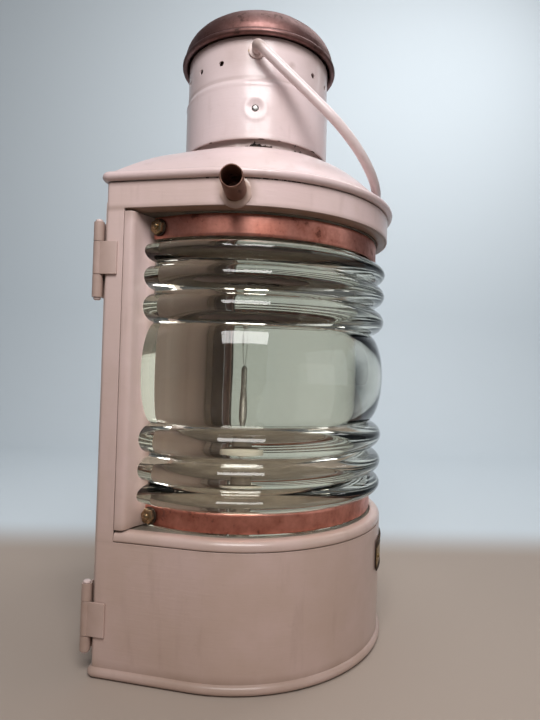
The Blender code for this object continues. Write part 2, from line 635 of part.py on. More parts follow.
def build_latch():
    """A turn button on the door; its tip swings into a hook on the port side."""
    face = BODY_REAR + DOOR_GAP + DOOR_THICK
    low = face + 0.0010
    high = face + 0.0030
    outline = [(LATCH_HALF * cos(a), LATCH_HALF * sin(a)) for a in arc(0.0, pi, 6)]
    tip = LATCH_HALF - 0.0010
    outline += [(-tip, -LATCH_ARM), (tip, -LATCH_ARM)]
    loops = [[(LATCH_X + x, y, LATCH_Z + z) for x, z in outline] for y in (low, high)]
    button = skin("latch_button", loops, BRASS, origin=(LATCH_X, low, LATCH_Z))
    bore_r = LATCH_PIN_R + PIN_CLEAR
    combine(button, [round_stud_y("cut_latch_button", bore_r, low - 0.001, high + 0.001, 14)])
    round_stud_y("latch_screw", LATCH_PIN_R, face - 0.0030, high + GAP, 14, head=(0.0036, 0.0018))
    near = BODY_R + GAP
    hook = [
        (0.0530, 0.1390), (0.0654, 0.1390), (0.0654, 0.1550), (0.0686, 0.1550),
        (0.0686, 0.1390), (0.0712, 0.1390), (0.0712, 0.1600), (0.0530, 0.1600),
    ]
    loops = [[(x, y, z) for y, z in hook] for x in (near, near + 0.0014)]
    skin("latch_keeper", loops, BRASS)


def bail_path():
    """Points on the bail's centre line as (across, along) pairs in its own plane."""
    leg_end = BAIL_REACH - BAIL_HALF
    bend_at = BAIL_HALF - BAIL_BEND
    path = [(BAIL_END, 0.0), (bend_at, 0.0)]
    for a in arc(-pi / 2, 0.0, 4)[1:]:
        path.append((bend_at + BAIL_BEND * cos(a), BAIL_BEND + BAIL_BEND * sin(a)))
    path += [(BAIL_HALF * cos(a), leg_end + BAIL_HALF * sin(a)) for a in arc(0.0, pi / 2, 7)[:-1]]
    back = [(-across, along) for across, along in reversed(path)]
    return path + [(0.0, BAIL_REACH)] + back


def build_bail():
    """The carrying bail, lying forward on the hood; its ends are bent into the chimney."""
    pivot = Vector((0.0, CHIMNEY_Y, BAIL_Z))
    side = bearing_point(TOP_TURN, 1.0, 0.0)
    ahead = bearing_point(TOP_TURN - pi / 2, 1.0, 0.0)
    down = Vector((0.0, 0.0, -1.0))
    slope = ahead * cos(BAIL_DROP) + down * sin(BAIL_DROP)
    square = side.cross(slope)
    points = [pivot + side * u + slope * v for u, v in bail_path()]
    loops = []
    for i, point in enumerate(points):
        before = points[max(i - 1, 0)]
        after = points[min(i + 1, len(points) - 1)]
        run = (after - before).normalized()
        flat = square.cross(run)
        turns = arc(0.0, 2 * pi, 8)[:-1]
        loops.append([point + (flat * cos(a) + square * sin(a)) * BAIL_ROD_R for a in turns])
    skin("bail_handle", loops, PAINT, origin=pivot)


def main():
    """Build the whole lantern in an empty scene."""
    clear_scene()
    build_body_shell()
    build_base_plate()
    build_window_surround()
    build_decks()
    build_hood()
    build_chimney()
    build_cap()
    build_lens()
    build_bands()
    build_side_tube()
    build_nameplate()
    build_lamp()
    build_rear_door()
    build_hinge("upper", UPPER_HINGE)
    build_hinge("lower", LOWER_HINGE)
    build_latch()
    build_bail()


main()
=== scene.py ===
"""Looks of a ship's masthead lantern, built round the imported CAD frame.

Front is -Y, starboard is -X and up is +Z, in metres, as in the frame.  Bearings
turn from dead ahead (0) through the starboard beam (90 degrees) to astern.
"""

import json
import logging
from dataclasses import dataclass, field
from enum import Enum
from math import asin, atan2, cos, exp, hypot, pi, radians, sin, sqrt
from typing import Callable, Sequence

import bmesh
import bpy
from mathutils import Matrix, Vector, noise

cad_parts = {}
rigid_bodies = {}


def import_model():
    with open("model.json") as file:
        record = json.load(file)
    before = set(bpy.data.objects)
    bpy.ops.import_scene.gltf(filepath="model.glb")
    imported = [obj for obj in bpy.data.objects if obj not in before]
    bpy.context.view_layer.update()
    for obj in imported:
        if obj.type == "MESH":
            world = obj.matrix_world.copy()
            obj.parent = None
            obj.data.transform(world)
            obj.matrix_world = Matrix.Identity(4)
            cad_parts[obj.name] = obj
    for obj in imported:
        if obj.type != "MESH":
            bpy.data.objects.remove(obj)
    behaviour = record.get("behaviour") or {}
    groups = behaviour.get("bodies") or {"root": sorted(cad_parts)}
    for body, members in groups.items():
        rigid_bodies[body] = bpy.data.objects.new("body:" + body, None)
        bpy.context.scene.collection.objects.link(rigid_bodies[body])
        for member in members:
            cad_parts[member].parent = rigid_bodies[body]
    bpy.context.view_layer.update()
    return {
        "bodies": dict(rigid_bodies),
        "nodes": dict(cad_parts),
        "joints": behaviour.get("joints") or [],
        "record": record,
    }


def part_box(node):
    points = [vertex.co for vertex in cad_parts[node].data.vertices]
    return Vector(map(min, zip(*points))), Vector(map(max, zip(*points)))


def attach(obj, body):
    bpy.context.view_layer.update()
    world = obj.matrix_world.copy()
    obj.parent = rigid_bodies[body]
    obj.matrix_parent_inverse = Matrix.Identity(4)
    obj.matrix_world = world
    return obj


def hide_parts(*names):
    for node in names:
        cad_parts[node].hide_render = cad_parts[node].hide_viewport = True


log = logging.getLogger("lantern")

Point = Sequence[float]
Loop = list[Vector]
Mask = Callable[[Vector], float]

UP = Vector((0.0, 0.0, 1.0)).freeze()
ASTERN = Vector((0.0, 1.0, 0.0)).freeze()
RUNNING_FIT = 0.00006


# ----------------------------------------------------------------------------
# Geometry helpers


def arc(start: float, end: float, steps: int) -> list[float]:
    """Evenly spaced values from start to end, both included.

    Args:
        start: First value.
        end: Last value.
        steps: Number of equal steps between them.

    Returns:
        steps + 1 values.
    """
    return [start + (end - start) * i / steps for i in range(steps + 1)]


def smooth(low: float, high: float, value: float) -> float:
    """Ease from 0 at low to 1 at high.

    Args:
        low: Value where the result is 0.
        high: Value where the result is 1.
        value: Value to ease.

    Returns:
        A number from 0 to 1.
    """
    t = min(max((value - low) / (high - low), 0.0), 1.0)
    return t * t * (3.0 - 2.0 * t)


def fade(width: float, distance: float) -> float:
    """Ease from 1 at no distance to 0 at a width."""
    return 1.0 - smooth(0.0, width, distance)


def middle_of(node: str) -> Vector:
    """The middle of a CAD node's box."""
    low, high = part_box(node)
    return (low + high) / 2


def half_of(node: str, axis: int = 0) -> float:
    """Half of a CAD node's extent along an axis: 0, 1 or 2."""
    low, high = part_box(node)
    return (high[axis] - low[axis]) / 2


def at_bearing(bearing: float, radius: float, z: float, across: float = 0.0,
               centre_y: float = 0.0) -> Vector:
    """A point at a radius on a bearing.

    Args:
        bearing: Angle from dead ahead towards starboard, in radians.
        radius: Distance from the axis.
        z: Height.
        across: Distance moved sideways, towards greater bearings.
        centre_y: Where the axis stands along Y.

    Returns:
        The point.
    """
    x = -radius * sin(bearing) - across * cos(bearing)
    y = centre_y - radius * cos(bearing) + across * sin(bearing)
    return Vector((x, y, z))


def bearing_of(point: Point, centre_y: float = 0.0) -> float:
    """The bearing of a point seen from the axis, from -pi to pi."""
    return atan2(-point[0], -(point[1] - centre_y))


def turn_apart(a: float, b: float) -> float:
    """The unsigned angle between two bearings."""
    return abs((a - b + pi) % (2 * pi) - pi)


def dent(point: Vector, scale: float, seed: float) -> float:
    """A slow, repeatable unevenness from -1 to 1, as of hand-beaten sheet."""
    return noise.noise(point / scale + Vector((seed, 2.7 * seed, 0.0)))


def bead(offset: float, z: float, radius: float, start: float, end: float,
         steps: int) -> list[tuple[float, float]]:
    """Part of a round bead's section.

    Args:
        offset: The bead's middle, outwards.
        z: The bead's middle, in height.
        radius: The bead's radius.
        start: First angle in degrees, 0 pointing outwards and 90 up.
        end: Last angle in degrees.
        steps: Number of facets.

    Returns:
        Pairs of outward distance and height.
    """
    turns = arc(radians(start), radians(end), steps)
    return [(offset + radius * cos(a), z + radius * sin(a)) for a in turns]


def densify(profile: Sequence[tuple[float, float]], step: float) -> list[tuple[float, float]]:
    """Add points along a profile's straight runs.

    Args:
        profile: Pairs of numbers.
        step: Longest run that is left undivided.

    Returns:
        The profile with its longer runs divided evenly.
    """
    out = [profile[0]]
    for (r0, z0), (r1, z1) in zip(profile, profile[1:]):
        parts = max(1, round(hypot(r1 - r0, z1 - z0) / step))
        for i in range(1, parts + 1):
            out.append((r0 + (r1 - r0) * i / parts, z0 + (z1 - z0) * i / parts))
    return out


class Join(Enum):
    """How a row of loops is closed."""

    RING = "last loop meets the first"
    CAPPED = "a face closes either end"
    OPEN = "both ends stay open"


@dataclass
class Build:
    """A mesh under construction, in the frame's coordinates."""

    name: str
    verts: list[Vector] = field(default_factory=list)
    faces: list[tuple[int, ...]] = field(default_factory=list)

    def loft(self, loops: Sequence[Loop], join: Join, closed: bool = True) -> "Build":
        """Skin a row of loops that have the same number of points.

        Args:
            loops: The loops, in order.
            join: How the row is closed.
            closed: Whether each loop is closed on itself.

        Returns:
            This build.
        """
        start = len(self.verts)
        count = len(loops[0])
        for loop in loops:
            self.verts.extend(Vector(p) for p in loop)
        rows = len(loops)
        spans = rows if join is Join.RING else rows - 1
        cells = count if closed else count - 1
        for i in range(spans):
            first = start + i * count
            second = start + ((i + 1) % rows) * count
            for j in range(cells):
                k = (j + 1) % count
                self.faces.append((first + j, first + k, second + k, second + j))
        if join is Join.CAPPED:
            self.faces.append(tuple(range(start, start + count)))
            last = start + (rows - 1) * count
            self.faces.append(tuple(range(last + count - 1, last - 1, -1)))
        return self

    def drop(self, unwanted: Callable[[Vector], bool]) -> "Build":
        """Remove the faces whose middle passes a test.

        Args:
            unwanted: The test.

        Returns:
            This build.
        """
        kept = []
        for face in self.faces:
            middle = sum((self.verts[i] for i in face), Vector()) / len(face)
            if not unwanted(middle):
                kept.append(face)
        self.faces = kept
        return self

    def move(self, shift: Callable[[Vector], Vector]) -> "Build":
        """Move every point by a function of its place."""
        self.verts = [v + shift(v) for v in self.verts]
        return self

    def make(self, sharp: float = 40.0, weld: float = 1e-6) -> bpy.types.Object:
        """Turn the build into a smooth-shaded object.

        Args:
            sharp: Edges with a greater angle, in degrees, stay sharp.
            weld: Distance under which points are merged.

        Returns:
            The object, linked to the scene.
        """
        mesh = bpy.data.meshes.new(self.name)
        work = bmesh.new()
        points = [work.verts.new(v) for v in self.verts]
        for face in self.faces:
            work.faces.new([points[i] for i in face])
        bmesh.ops.remove_doubles(work, verts=work.verts, dist=weld)
        loose = [v for v in work.verts if not v.link_faces]
        bmesh.ops.delete(work, geom=loose, context="VERTS")
        bmesh.ops.recalc_face_normals(work, faces=work.faces)
        if work.calc_volume(signed=True) < 0.0:
            bmesh.ops.reverse_faces(work, faces=work.faces)
        work.to_mesh(mesh)
        work.free()
        mesh.shade_smooth()
        mesh.set_sharp_from_angle(angle=radians(sharp))
        item = bpy.data.objects.new(self.name, mesh)
        bpy.context.scene.collection.objects.link(item)
        return item


def bake_modifiers(item: bpy.types.Object) -> None:
    """Replace an object's mesh by what its modifiers make of it.

    Args:
        item: The object.
    """
    graph = bpy.context.evaluated_depsgraph_get()
    graph.update()
    mesh = bpy.data.meshes.new_from_object(item.evaluated_get(graph))
    item.modifiers.clear()
    item.data = mesh


def thicken(item: bpy.types.Object, sheet: float) -> None:
    """Give an open surface the thickness of its sheet, inwards.

    Args:
        item: The surface.
        sheet: The sheet's thickness.
    """
    solid = item.modifiers.new("sheet", "SOLIDIFY")
    solid.thickness = sheet
    solid.offset = -1.0
    solid.use_even_offset = True
    bake_modifiers(item)


def soften(item: bpy.types.Object, width: float, angle: float = 35.0, bake: bool = True) -> None:
    """Round an object's edges.

    Args:
        item: The object.
        width: Width of the rounding.
        angle: Edges with a greater angle, in degrees, are rounded.
        bake: Whether the rounding goes into the mesh at once.
    """
    edge = item.modifiers.new("soft_edges", "BEVEL")
    edge.width = width
    edge.segments = 2
    edge.limit_method = "ANGLE"
    edge.angle_limit = radians(angle)
    edge.harden_normals = True
    if bake:
        bake_modifiers(item)


def cut(item: bpy.types.Object, tools: Sequence[bpy.types.Object], operation: str = "DIFFERENCE") -> None:
    """Cut tools out of an object, or join them on, and remove the tools.

    Args:
        item: The object.
        tools: The tools.
        operation: DIFFERENCE to cut, UNION to join.
    """
    for tool in tools:
        step = item.modifiers.new("cut", "BOOLEAN")
        step.operation = operation
        step.solver = "EXACT"
        step.object = tool
    bake_modifiers(item)
    for tool in tools:
        bpy.data.objects.remove(tool, do_unlink=True)
    item.data.set_sharp_from_angle(angle=radians(35))


def paint_mask(item: bpy.types.Object, name: str, mask: Mask) -> None:
    """Store a number from 0 to 1 at every point, for the finish to read.

    Args:
        item: The piece.
        name: The mask's name.
        mask: Its value at a point.
    """
    layer = item.data.attributes.new(name, "FLOAT", "POINT")
    values = [min(max(mask(v.co), 0.0), 1.0) for v in item.data.vertices]
    layer.data.foreach_set("value", values)


def turned(name: str, profile: Sequence[tuple[float, float]], join: Join,
           centre: tuple[float, float] = (0.0, 0.0), steps: int = 96) -> Build:
    """Turn a profile about a vertical axis.

    Args:
        name: The build's name.
        profile: Pairs of radius and height.
        join: How the profile is closed.
        centre: Where the axis stands.
        steps: Facets round the axis.

    Returns:
        The build.
    """
    loops = []
    for radius, z in profile:
        turns = arc(0.0, 2 * pi, steps)[:-1]
        loops.append([Vector((centre[0] + radius * cos(a), centre[1] + radius * sin(a), z)) for a in turns])
    return Build(name).loft(loops, join)


def turned_on(name: str, base: Vector, out: Vector, profile: Sequence[tuple[float, float]],
              join: Join = Join.CAPPED, sides: int = 32, start: float = 0.0) -> Build:
    """Turn a profile about a level line.

    Args:
        name: The build's name.
        base: A point on the line.
        out: The line's direction.
        profile: Pairs of radius and distance along the line.
        join: How the profile is closed.
        sides: Facets round the line.
        start: Angle of the first facet.

    Returns:
        The build.
    """
    out = out.normalized()
    side = UP.cross(out).normalized()
    up = out.cross(side)
    loops = []
    for radius, along in profile:
        turns = [start + a for a in arc(0.0, 2 * pi, sides)[:-1]]
        loops.append([base + out * along + (side * cos(a) + up * sin(a)) * radius for a in turns])
    return Build(name).loft(loops, join)


# ----------------------------------------------------------------------------
# Shader graphs


class Value:
    """A socket that carries one number, with Python's operators on it."""

    def __init__(self, graph: "Graph", socket: bpy.types.NodeSocket) -> None:
        """Wrap a socket of a graph."""
        self.graph = graph
        self.socket = socket

    def math(self, operation: str, *terms: "Value | float") -> "Value":
        """Add a Math node.

        Args:
            operation: The node's operation.
            terms: The node's inputs, in order.

        Returns:
            The node's result.
        """
        inputs = dict(enumerate(terms))
        made = self.graph.node("ShaderNodeMath", {"operation": operation}, inputs)
        return Value(self.graph, made.outputs[0])

    def __add__(self, other: "Value | float") -> "Value":
        """self + other."""
        return self.math("ADD", self, other)

    __radd__ = __add__

    def __sub__(self, other: "Value | float") -> "Value":
        """self - other."""
        return self.math("SUBTRACT", self, other)

    def __rsub__(self, other: "Value | float") -> "Value":
        """other - self."""
        return self.math("SUBTRACT", other, self)

    def __mul__(self, other: "Value | float") -> "Value":
        """self * other."""
        return self.math("MULTIPLY", self, other)

    __rmul__ = __mul__

    def most(self, other: "Value | float") -> "Value":
        """The greater of the two."""
        return self.math("MAXIMUM", self, other)

    def size(self) -> "Value":
        """The number without its sign."""
        return self.math("ABSOLUTE", self)

    def ease(self, low: float, high: float) -> "Value":
        """Turn low..high smoothly into 0..1; low may be the greater.

        Args:
            low: Input that gives 0.
            high: Input that gives 1.

        Returns:
            A number from 0 to 1.
        """
        settings = {"interpolation_type": "SMOOTHSTEP"}
        inputs = {"Value": self, "From Min": low, "From Max": high}
        made = self.graph.node("ShaderNodeMapRange", settings, inputs)
        return Value(self.graph, made.outputs[0])

    def near(self, place: float, width: float) -> "Value":
        """1 where the number is at a place, falling to 0 a width away."""
        return 1.0 - (self - place).size().ease(0.0, width)


@dataclass
class Tint:
    """A socket that carries a colour."""

    graph: "Graph"
    socket: bpy.types.NodeSocket

    def mix(self, other: "Tint | Point", share: "Value | float") -> "Tint":
        """Go from this colour towards another.

        Args:
            other: The other colour.
            share: How far to go, from 0 to 1.

        Returns:
            The mixed colour.
        """
        inputs = {"Factor_Float": share, "A_Color": self, "B_Color": other}
        made = self.graph.node("ShaderNodeMix", {"data_type": "RGBA"}, inputs)
        return Tint(self.graph, made.outputs[2])


@dataclass
class Spot:
    """A socket that carries a vector, such as a place on the piece."""

    graph: "Graph"
    socket: bpy.types.NodeSocket

    def scaled(self, factors: Point) -> "Spot":
        """Multiply each component by its own factor."""
        made = self.graph.node("ShaderNodeVectorMath", {"operation": "MULTIPLY"}, {0: self, 1: factors})
        return Spot(self.graph, made.outputs[0])

    def part(self, axis: int) -> Value:
        """One component: 0, 1 or 2."""
        made = self.graph.node("ShaderNodeSeparateXYZ", {}, {0: self})
        return Value(self.graph, made.outputs[axis])


class Graph:
    """A material's node tree round one Principled shader."""

    def __init__(self, name: str) -> None:
        """Make an empty material with this name."""
        self.material = bpy.data.materials.new(name)
        self.material.use_nodes = True
        self.tree = self.material.node_tree
        self.tree.nodes.clear()
        self.shader = self.tree.nodes.new("ShaderNodeBsdfPrincipled")
        self.output = self.tree.nodes.new("ShaderNodeOutputMaterial")
        self.tree.links.new(self.shader.outputs[0], self.output.inputs["Surface"])

    def node(self, kind: str, settings: dict[str, object],
             inputs: dict[str | int, object]) -> bpy.types.Node:
        """Add a node: its settings first, then its sockets.

        Args:
            kind: The node's type.
            settings: Properties of the node.
            inputs: A value or a wrapped socket for each socket's name, identifier or number.

        Returns:
            The node.
        """
        made = self.tree.nodes.new(kind)
        for name, value in settings.items():
            setattr(made, name, value)
        for key, value in inputs.items():
            self.feed(self.find(made, key), value)
        return made

    def find(self, node: bpy.types.Node, key: str | int) -> bpy.types.NodeSocket:
        """An input socket of a node.

        Args:
            node: The node.
            key: The socket's number, identifier or name.

        Returns:
            The socket.
        """
        if isinstance(key, int):
            return node.inputs[key]
        return next((s for s in node.inputs if s.identifier == key), None) or node.inputs[key]

    def feed(self, socket: bpy.types.NodeSocket, value: object) -> None:
        """Link a wrapped socket to a socket, or set the socket's own value.

        Args:
            socket: The socket.
            value: The wrapped socket or the plain value.
        """
        if isinstance(value, (Value, Tint, Spot)):
            self.tree.links.new(value.socket, socket)
        elif socket.type == "RGBA":
            socket.default_value = (*value, 1.0) if len(value) == 3 else value
        else:
            socket.default_value = value

    def set(self, **inputs: object) -> None:
        """Feed the Principled shader; an underscore stands for a space."""
        for name, value in inputs.items():
            self.feed(self.shader.inputs[name.replace("_", " ")], value)

    def place(self) -> Spot:
        """Where the shaded point is on the piece, in metres."""
        return Spot(self, self.node("ShaderNodeTexCoord", {}, {}).outputs["Object"])

    def stored(self, name: str) -> Value:
        """A number that the mesh stores at its points."""
        made = self.node("ShaderNodeAttribute", {"attribute_name": name}, {})
        return Value(self, made.outputs["Fac"])

    def noise(self, where: Spot, size: float, detail: float = 3.0, rough: float = 0.55) -> Value:
        """Cloudy noise from 0 to 1.

        Args:
            where: The place it is read at.
            size: Rough size of a cloud, in metres.
            detail: How many finer layers it has.
            rough: How strong the finer layers are.

        Returns:
            The noise.
        """
        inputs = {"Vector": where, "Scale": 1.0 / size, "Detail": detail, "Roughness": rough}
        made = self.node("ShaderNodeTexNoise", {}, inputs)
        return Value(self, made.outputs[0])

    def cells(self, where: Spot, size: float) -> Value:
        """Distance to the nearest of many scattered points, in cell sizes."""
        made = self.node("ShaderNodeTexVoronoi", {}, {"Vector": where, "Scale": 1.0 / size})
        return Value(self, made.outputs["Distance"])

    def colour(self, value: Point) -> Tint:
        """A fixed colour to start a mix from."""
        made = self.node("ShaderNodeRGB", {}, {})
        made.outputs[0].default_value = (*value, 1.0)
        return Tint(self, made.outputs[0])

    def bump(self, height: Value, depth: float, strength: float = 1.0) -> None:
        """Rough the surface up.

        Args:
            height: The relief, from 0 to 1.
            depth: Height of 1, in metres.
            strength: How strongly it shows.
        """
        inputs = {"Height": height, "Distance": depth, "Strength": strength}
        made = self.node("ShaderNodeBump", {}, inputs)
        self.tree.links.new(made.outputs[0], self.shader.inputs["Normal"])


class Worn(Enum):
    """How hard a painted piece has been used."""

    USED = 0.5
    BATTERED = 1.0


@dataclass(frozen=True)
class OldPaint:
    """Pinkish cream enamel laid on by brush, grimy in the folds and chipped at the edges; browner below from
    dirt, yellowing, painted shade and painted floor glow; darker inside as painted shade.
    """

    name: str = "cream_paint"
    fresh: Point = (0.72, 0.545, 0.525)
    faded: Point = (0.66, 0.500, 0.460)
    yellowing_and_floor_bounce: Point = (0.46, 0.310, 0.220)
    grime_and_shade: Point = (0.240, 0.150, 0.105)
    bare: Point = (0.050, 0.030, 0.022)
    use: Worn = Worn.USED
    low: float = 0.0
    high: float = 0.45
    stain_and_shade_bands: tuple[tuple[float, float], ...] = ()
    stain_and_shade_strength: float = 0.55
    inside_shade: Point = (0.360, 0.295, 0.250)

    def dress(self) -> bpy.types.Material:
        """Make the material.

        Returns:
            The material, which reads the stored masks "chip" and "grime".
        """
        graph = Graph(self.name)
        where = graph.place()
        height = where.part(2)
        clouds = graph.noise(where, 0.045, 4.0, 0.6)
        fine = graph.noise(where, 0.006, 4.0, 0.6)
        strokes = graph.noise(where.scaled((1.0, 1.0, 9.0)), 0.018, 3.0, 0.6)
        runs = graph.noise(where.scaled((1.0, 1.0, 0.18)), 0.010, 3.0, 0.55)
        paint = graph.colour(self.fresh).mix(self.faded, clouds.ease(0.35, 0.65))
        # Towards the bottom the paint turns browner and darker: partly yellowing and dirt, partly painted
        # shade and a painted warm glow as if thrown up from the floor.
        lower = height.ease(self.high, self.low)
        low_shade_and_dirt = lower * (0.30 + 0.25 * clouds)
        paint = paint.mix(self.yellowing_and_floor_bounce, lower * (0.40 + 0.25 * clouds)).mix(self.grime_and_shade, low_shade_and_dirt * 0.30)
        # The stored mask holds real dirt and, in places, painted shade.
        smeared_grime_and_shade = (graph.stored("grime_and_shade") * (0.35 + clouds)).ease(0.05, 0.95)
        streaks = runs.ease(0.56, 0.74) * 0.16 + fine.ease(0.60, 0.78) * 0.10
        dirt_and_shade = smeared_grime_and_shade.most(streaks)
        # Listed bands darken as dirt and as painted shade under an edge.
        for place, width in self.stain_and_shade_bands:
            edge = height.near(place, width) * (0.55 + 0.75 * clouds)
            dirt_and_shade = dirt_and_shade.most(edge * self.stain_and_shade_strength)
        paint = paint.mix(self.grime_and_shade, dirt_and_shade * 0.8)
        specks = graph.cells(where, 0.0085) + 0.5 * fine
        flakes = graph.stored("chip") * 0.9 + clouds * 0.25
        chips = (flakes - specks * 0.55 + 0.02 * self.use.value).ease(0.42, 0.46)
        dots = (graph.cells(where, 0.017) + fine * 0.05).ease(0.062, 0.045)
        rare = graph.noise(where, 0.030, 1.0, 0.5).ease(0.66, 0.68)
        bare = chips.most(dots * rare * self.use.value)
        rust = graph.colour(self.bare).mix((0.16, 0.065, 0.030), fine.ease(0.4, 0.65))
        # Inside faces take a darker colour: painted shade of the closed interior.
        inner = graph.stored("inner")
        dark = graph.colour(self.inside_shade).mix((0.56, 0.465, 0.410), clouds.ease(0.4, 0.7))
        graph.set(
            Base_Color=paint.mix(rust, bare).mix(dark, inner),
            Roughness=0.27 + 0.16 * clouds + 0.22 * dirt_and_shade + 0.3 * bare + 0.2 * inner,
            Coat_Weight=0.35 * (1.0 - bare) * (1.0 - 0.7 * dirt_and_shade),
            Coat_Roughness=0.14,
            IOR=1.5,
        )
        relief = strokes * 0.55 + graph.noise(where, 0.0022, 2.0, 0.5) * 0.12 + clouds * 0.9 - bare * 0.9
        graph.bump(relief, 0.00022, 0.8)
        return graph.material


@dataclass(frozen=True)
class Copper:
    """Copper that was once polished, with brown tarnish and dark stains."""

    name: str = "bright_copper"
    bright: Point = (0.82, 0.37, 0.29)
    brown: Point = (0.27, 0.070, 0.040)
    dark: Point = (0.060, 0.022, 0.016)
    tarnish: float = 0.43
    gloss: float = 0.26
    scratched: float = 1.0

    def dress(self) -> bpy.types.Material:
        """Make the material.

        Returns:
            The material.
        """
        graph = Graph(self.name)
        where = graph.place()
        clouds = graph.noise(where, 0.022, 4.0, 0.62)
        fine = graph.noise(where, 0.0035, 4.0, 0.65)
        lines = graph.noise(where.scaled((1.0, 1.0, 14.0)), 0.010, 3.0, 0.6)
        tarnish = (clouds * 0.8 + fine * 0.18 + self.tarnish - 0.5).ease(0.12, 0.72)
        stains = (clouds * 0.60 + fine * 0.50).ease(0.62, 0.70)
        metal = graph.colour(self.bright).mix(self.brown, tarnish)
        metal = metal.mix(self.dark, stains * (0.35 + 0.5 * self.tarnish))
        graph.set(
            Base_Color=metal,
            Metallic=1.0 - stains * 0.3,
            Roughness=self.gloss + 0.22 * tarnish + 0.25 * stains + 0.08 * self.scratched * lines,
        )
        graph.bump(lines * 0.5 + clouds * 0.8 + fine * 0.2, 0.00012, 0.7 * self.scratched)
        return graph.material


@dataclass(frozen=True)
class Alloy:
    """A plain metal with soft tarnish in its hollows."""

    name: str
    face: Point
    tarnished: Point
    gloss: float = 0.35
    amount: float = 0.5
    grain: float = 0.0040

    def dress(self) -> bpy.types.Material:
        """Make the material.

        Returns:
            The material, which reads the stored mask "grime".
        """
        graph = Graph(self.name)
        where = graph.place()
        clouds = graph.noise(where, 4.0 * self.grain, 4.0, 0.6)
        fine = graph.noise(where, self.grain * 0.5, 3.0, 0.6)
        dull = clouds * 0.7 + fine * 0.35 + graph.stored("grime_and_shade") * 0.6
        dull = dull.ease(0.75 - 0.45 * self.amount, 0.95)
        graph.set(
            Base_Color=graph.colour(self.face).mix(self.tarnished, dull),
            Metallic=1.0 - dull * 0.35,
            Roughness=self.gloss + 0.35 * dull + 0.06 * fine,
        )
        graph.bump(fine * 0.6 + clouds * 0.6, 0.00008, 0.8)
        return graph.material


@dataclass(frozen=True)
class Overpainted:
    """Metal that the paint brush has gone over, rubbed through here and there."""

    name: str = "overpainted_brass"
    paint: Point = (0.70, 0.555, 0.52)
    metal: Point = (0.60, 0.44, 0.22)

    def dress(self) -> bpy.types.Material:
        """Make the material.

        Returns:
            The material.
        """
        graph = Graph(self.name)
        where = graph.place()
        clouds = graph.noise(where, 0.006, 4.0, 0.6)
        rubbed = clouds.ease(0.63, 0.66)
        graph.set(
            Base_Color=graph.colour(self.paint).mix(self.metal, rubbed),
            Metallic=rubbed,
            Roughness=0.30 + 0.2 * clouds,
        )
        graph.bump(clouds - rubbed * 0.5, 0.00015, 0.8)
        return graph.material


@dataclass(frozen=True)
class Glass:
    """Clear pressed or blown glass with a faint tint, a skin of dust and slow waves."""

    name: str = "lens_glass"
    tint: Point = (0.85, 0.838, 0.742)
    index: float = 1.50
    haze: float = 0.02
    wave: float = 0.00006
    dust: float = 0.10

    def dress(self) -> bpy.types.Material:
        """Make the material.

        Returns:
            The material.
        """
        graph = Graph(self.name)
        where = graph.place()
        clouds = graph.noise(where, 0.030, 2.0, 0.5)
        fine = graph.noise(where, 0.0040, 3.0, 0.6)
        film = (clouds * 0.6 + fine * 0.4).ease(0.45, 0.8)
        graph.set(
            Base_Color=self.tint,
            Transmission_Weight=1.0,
            IOR=self.index,
            Roughness=self.haze + self.dust * 0.4 * film,
        )
        graph.bump(clouds + 0.05 * fine, self.wave, 1.0)
        return graph.material


@dataclass(frozen=True)
class Matter:
    """A dull, non-metallic stuff: putty, porcelain, dirty inner paint, studio paper."""

    name: str
    face: Point
    other: Point
    rough: float = 0.6
    grain: float = 0.004
    relief: float = 0.0001
    glaze: float = 0.0

    def dress(self) -> bpy.types.Material:
        """Make the material.

        Returns:
            The material.
        """
        graph = Graph(self.name)
        where = graph.place()
        clouds = graph.noise(where, 5.0 * self.grain, 4.0, 0.6)
        fine = graph.noise(where, self.grain, 4.0, 0.6)
        share = (clouds * 0.7 + fine * 0.35).ease(0.35, 0.75)
        graph.set(
            Base_Color=graph.colour(self.face).mix(self.other, share),
            Roughness=self.rough + 0.15 * fine - 0.07,
            Coat_Weight=self.glaze,
            Coat_Roughness=0.08,
        )
        graph.bump(fine * 0.6 + clouds * 0.6, self.relief, 0.7)
        return graph.material


@dataclass(frozen=True)
class FlakedIron:
    """Cream paint that has flaked off black, rusty iron where the mask says so."""

    name: str = "rusty_neck"
    black: Point = (0.022, 0.017, 0.015)
    rust: Point = (0.085, 0.042, 0.027)
    paint: Point = (0.66, 0.53, 0.50)

    def dress(self) -> bpy.types.Material:
        """Make the material.

        Returns:
            The material, which reads the stored mask "bare".
        """
        graph = Graph(self.name)
        where = graph.place()
        clouds = graph.noise(where, 0.020, 4.0, 0.65)
        fine = graph.noise(where, 0.0040, 5.0, 0.7)
        flakes = (clouds * 0.55 + fine * 0.45 - graph.stored("bare") * 0.26).ease(0.335, 0.350)
        iron = graph.colour(self.black).mix(self.rust, fine.ease(0.42, 0.62))
        graph.set(
            Base_Color=iron.mix(self.paint, flakes),
            Roughness=0.85 - 0.45 * flakes,
            Metallic=0.15 * (1.0 - flakes),
        )
        graph.bump(flakes * 0.7 + fine * 0.6, 0.0004, 0.9)
        return graph.material


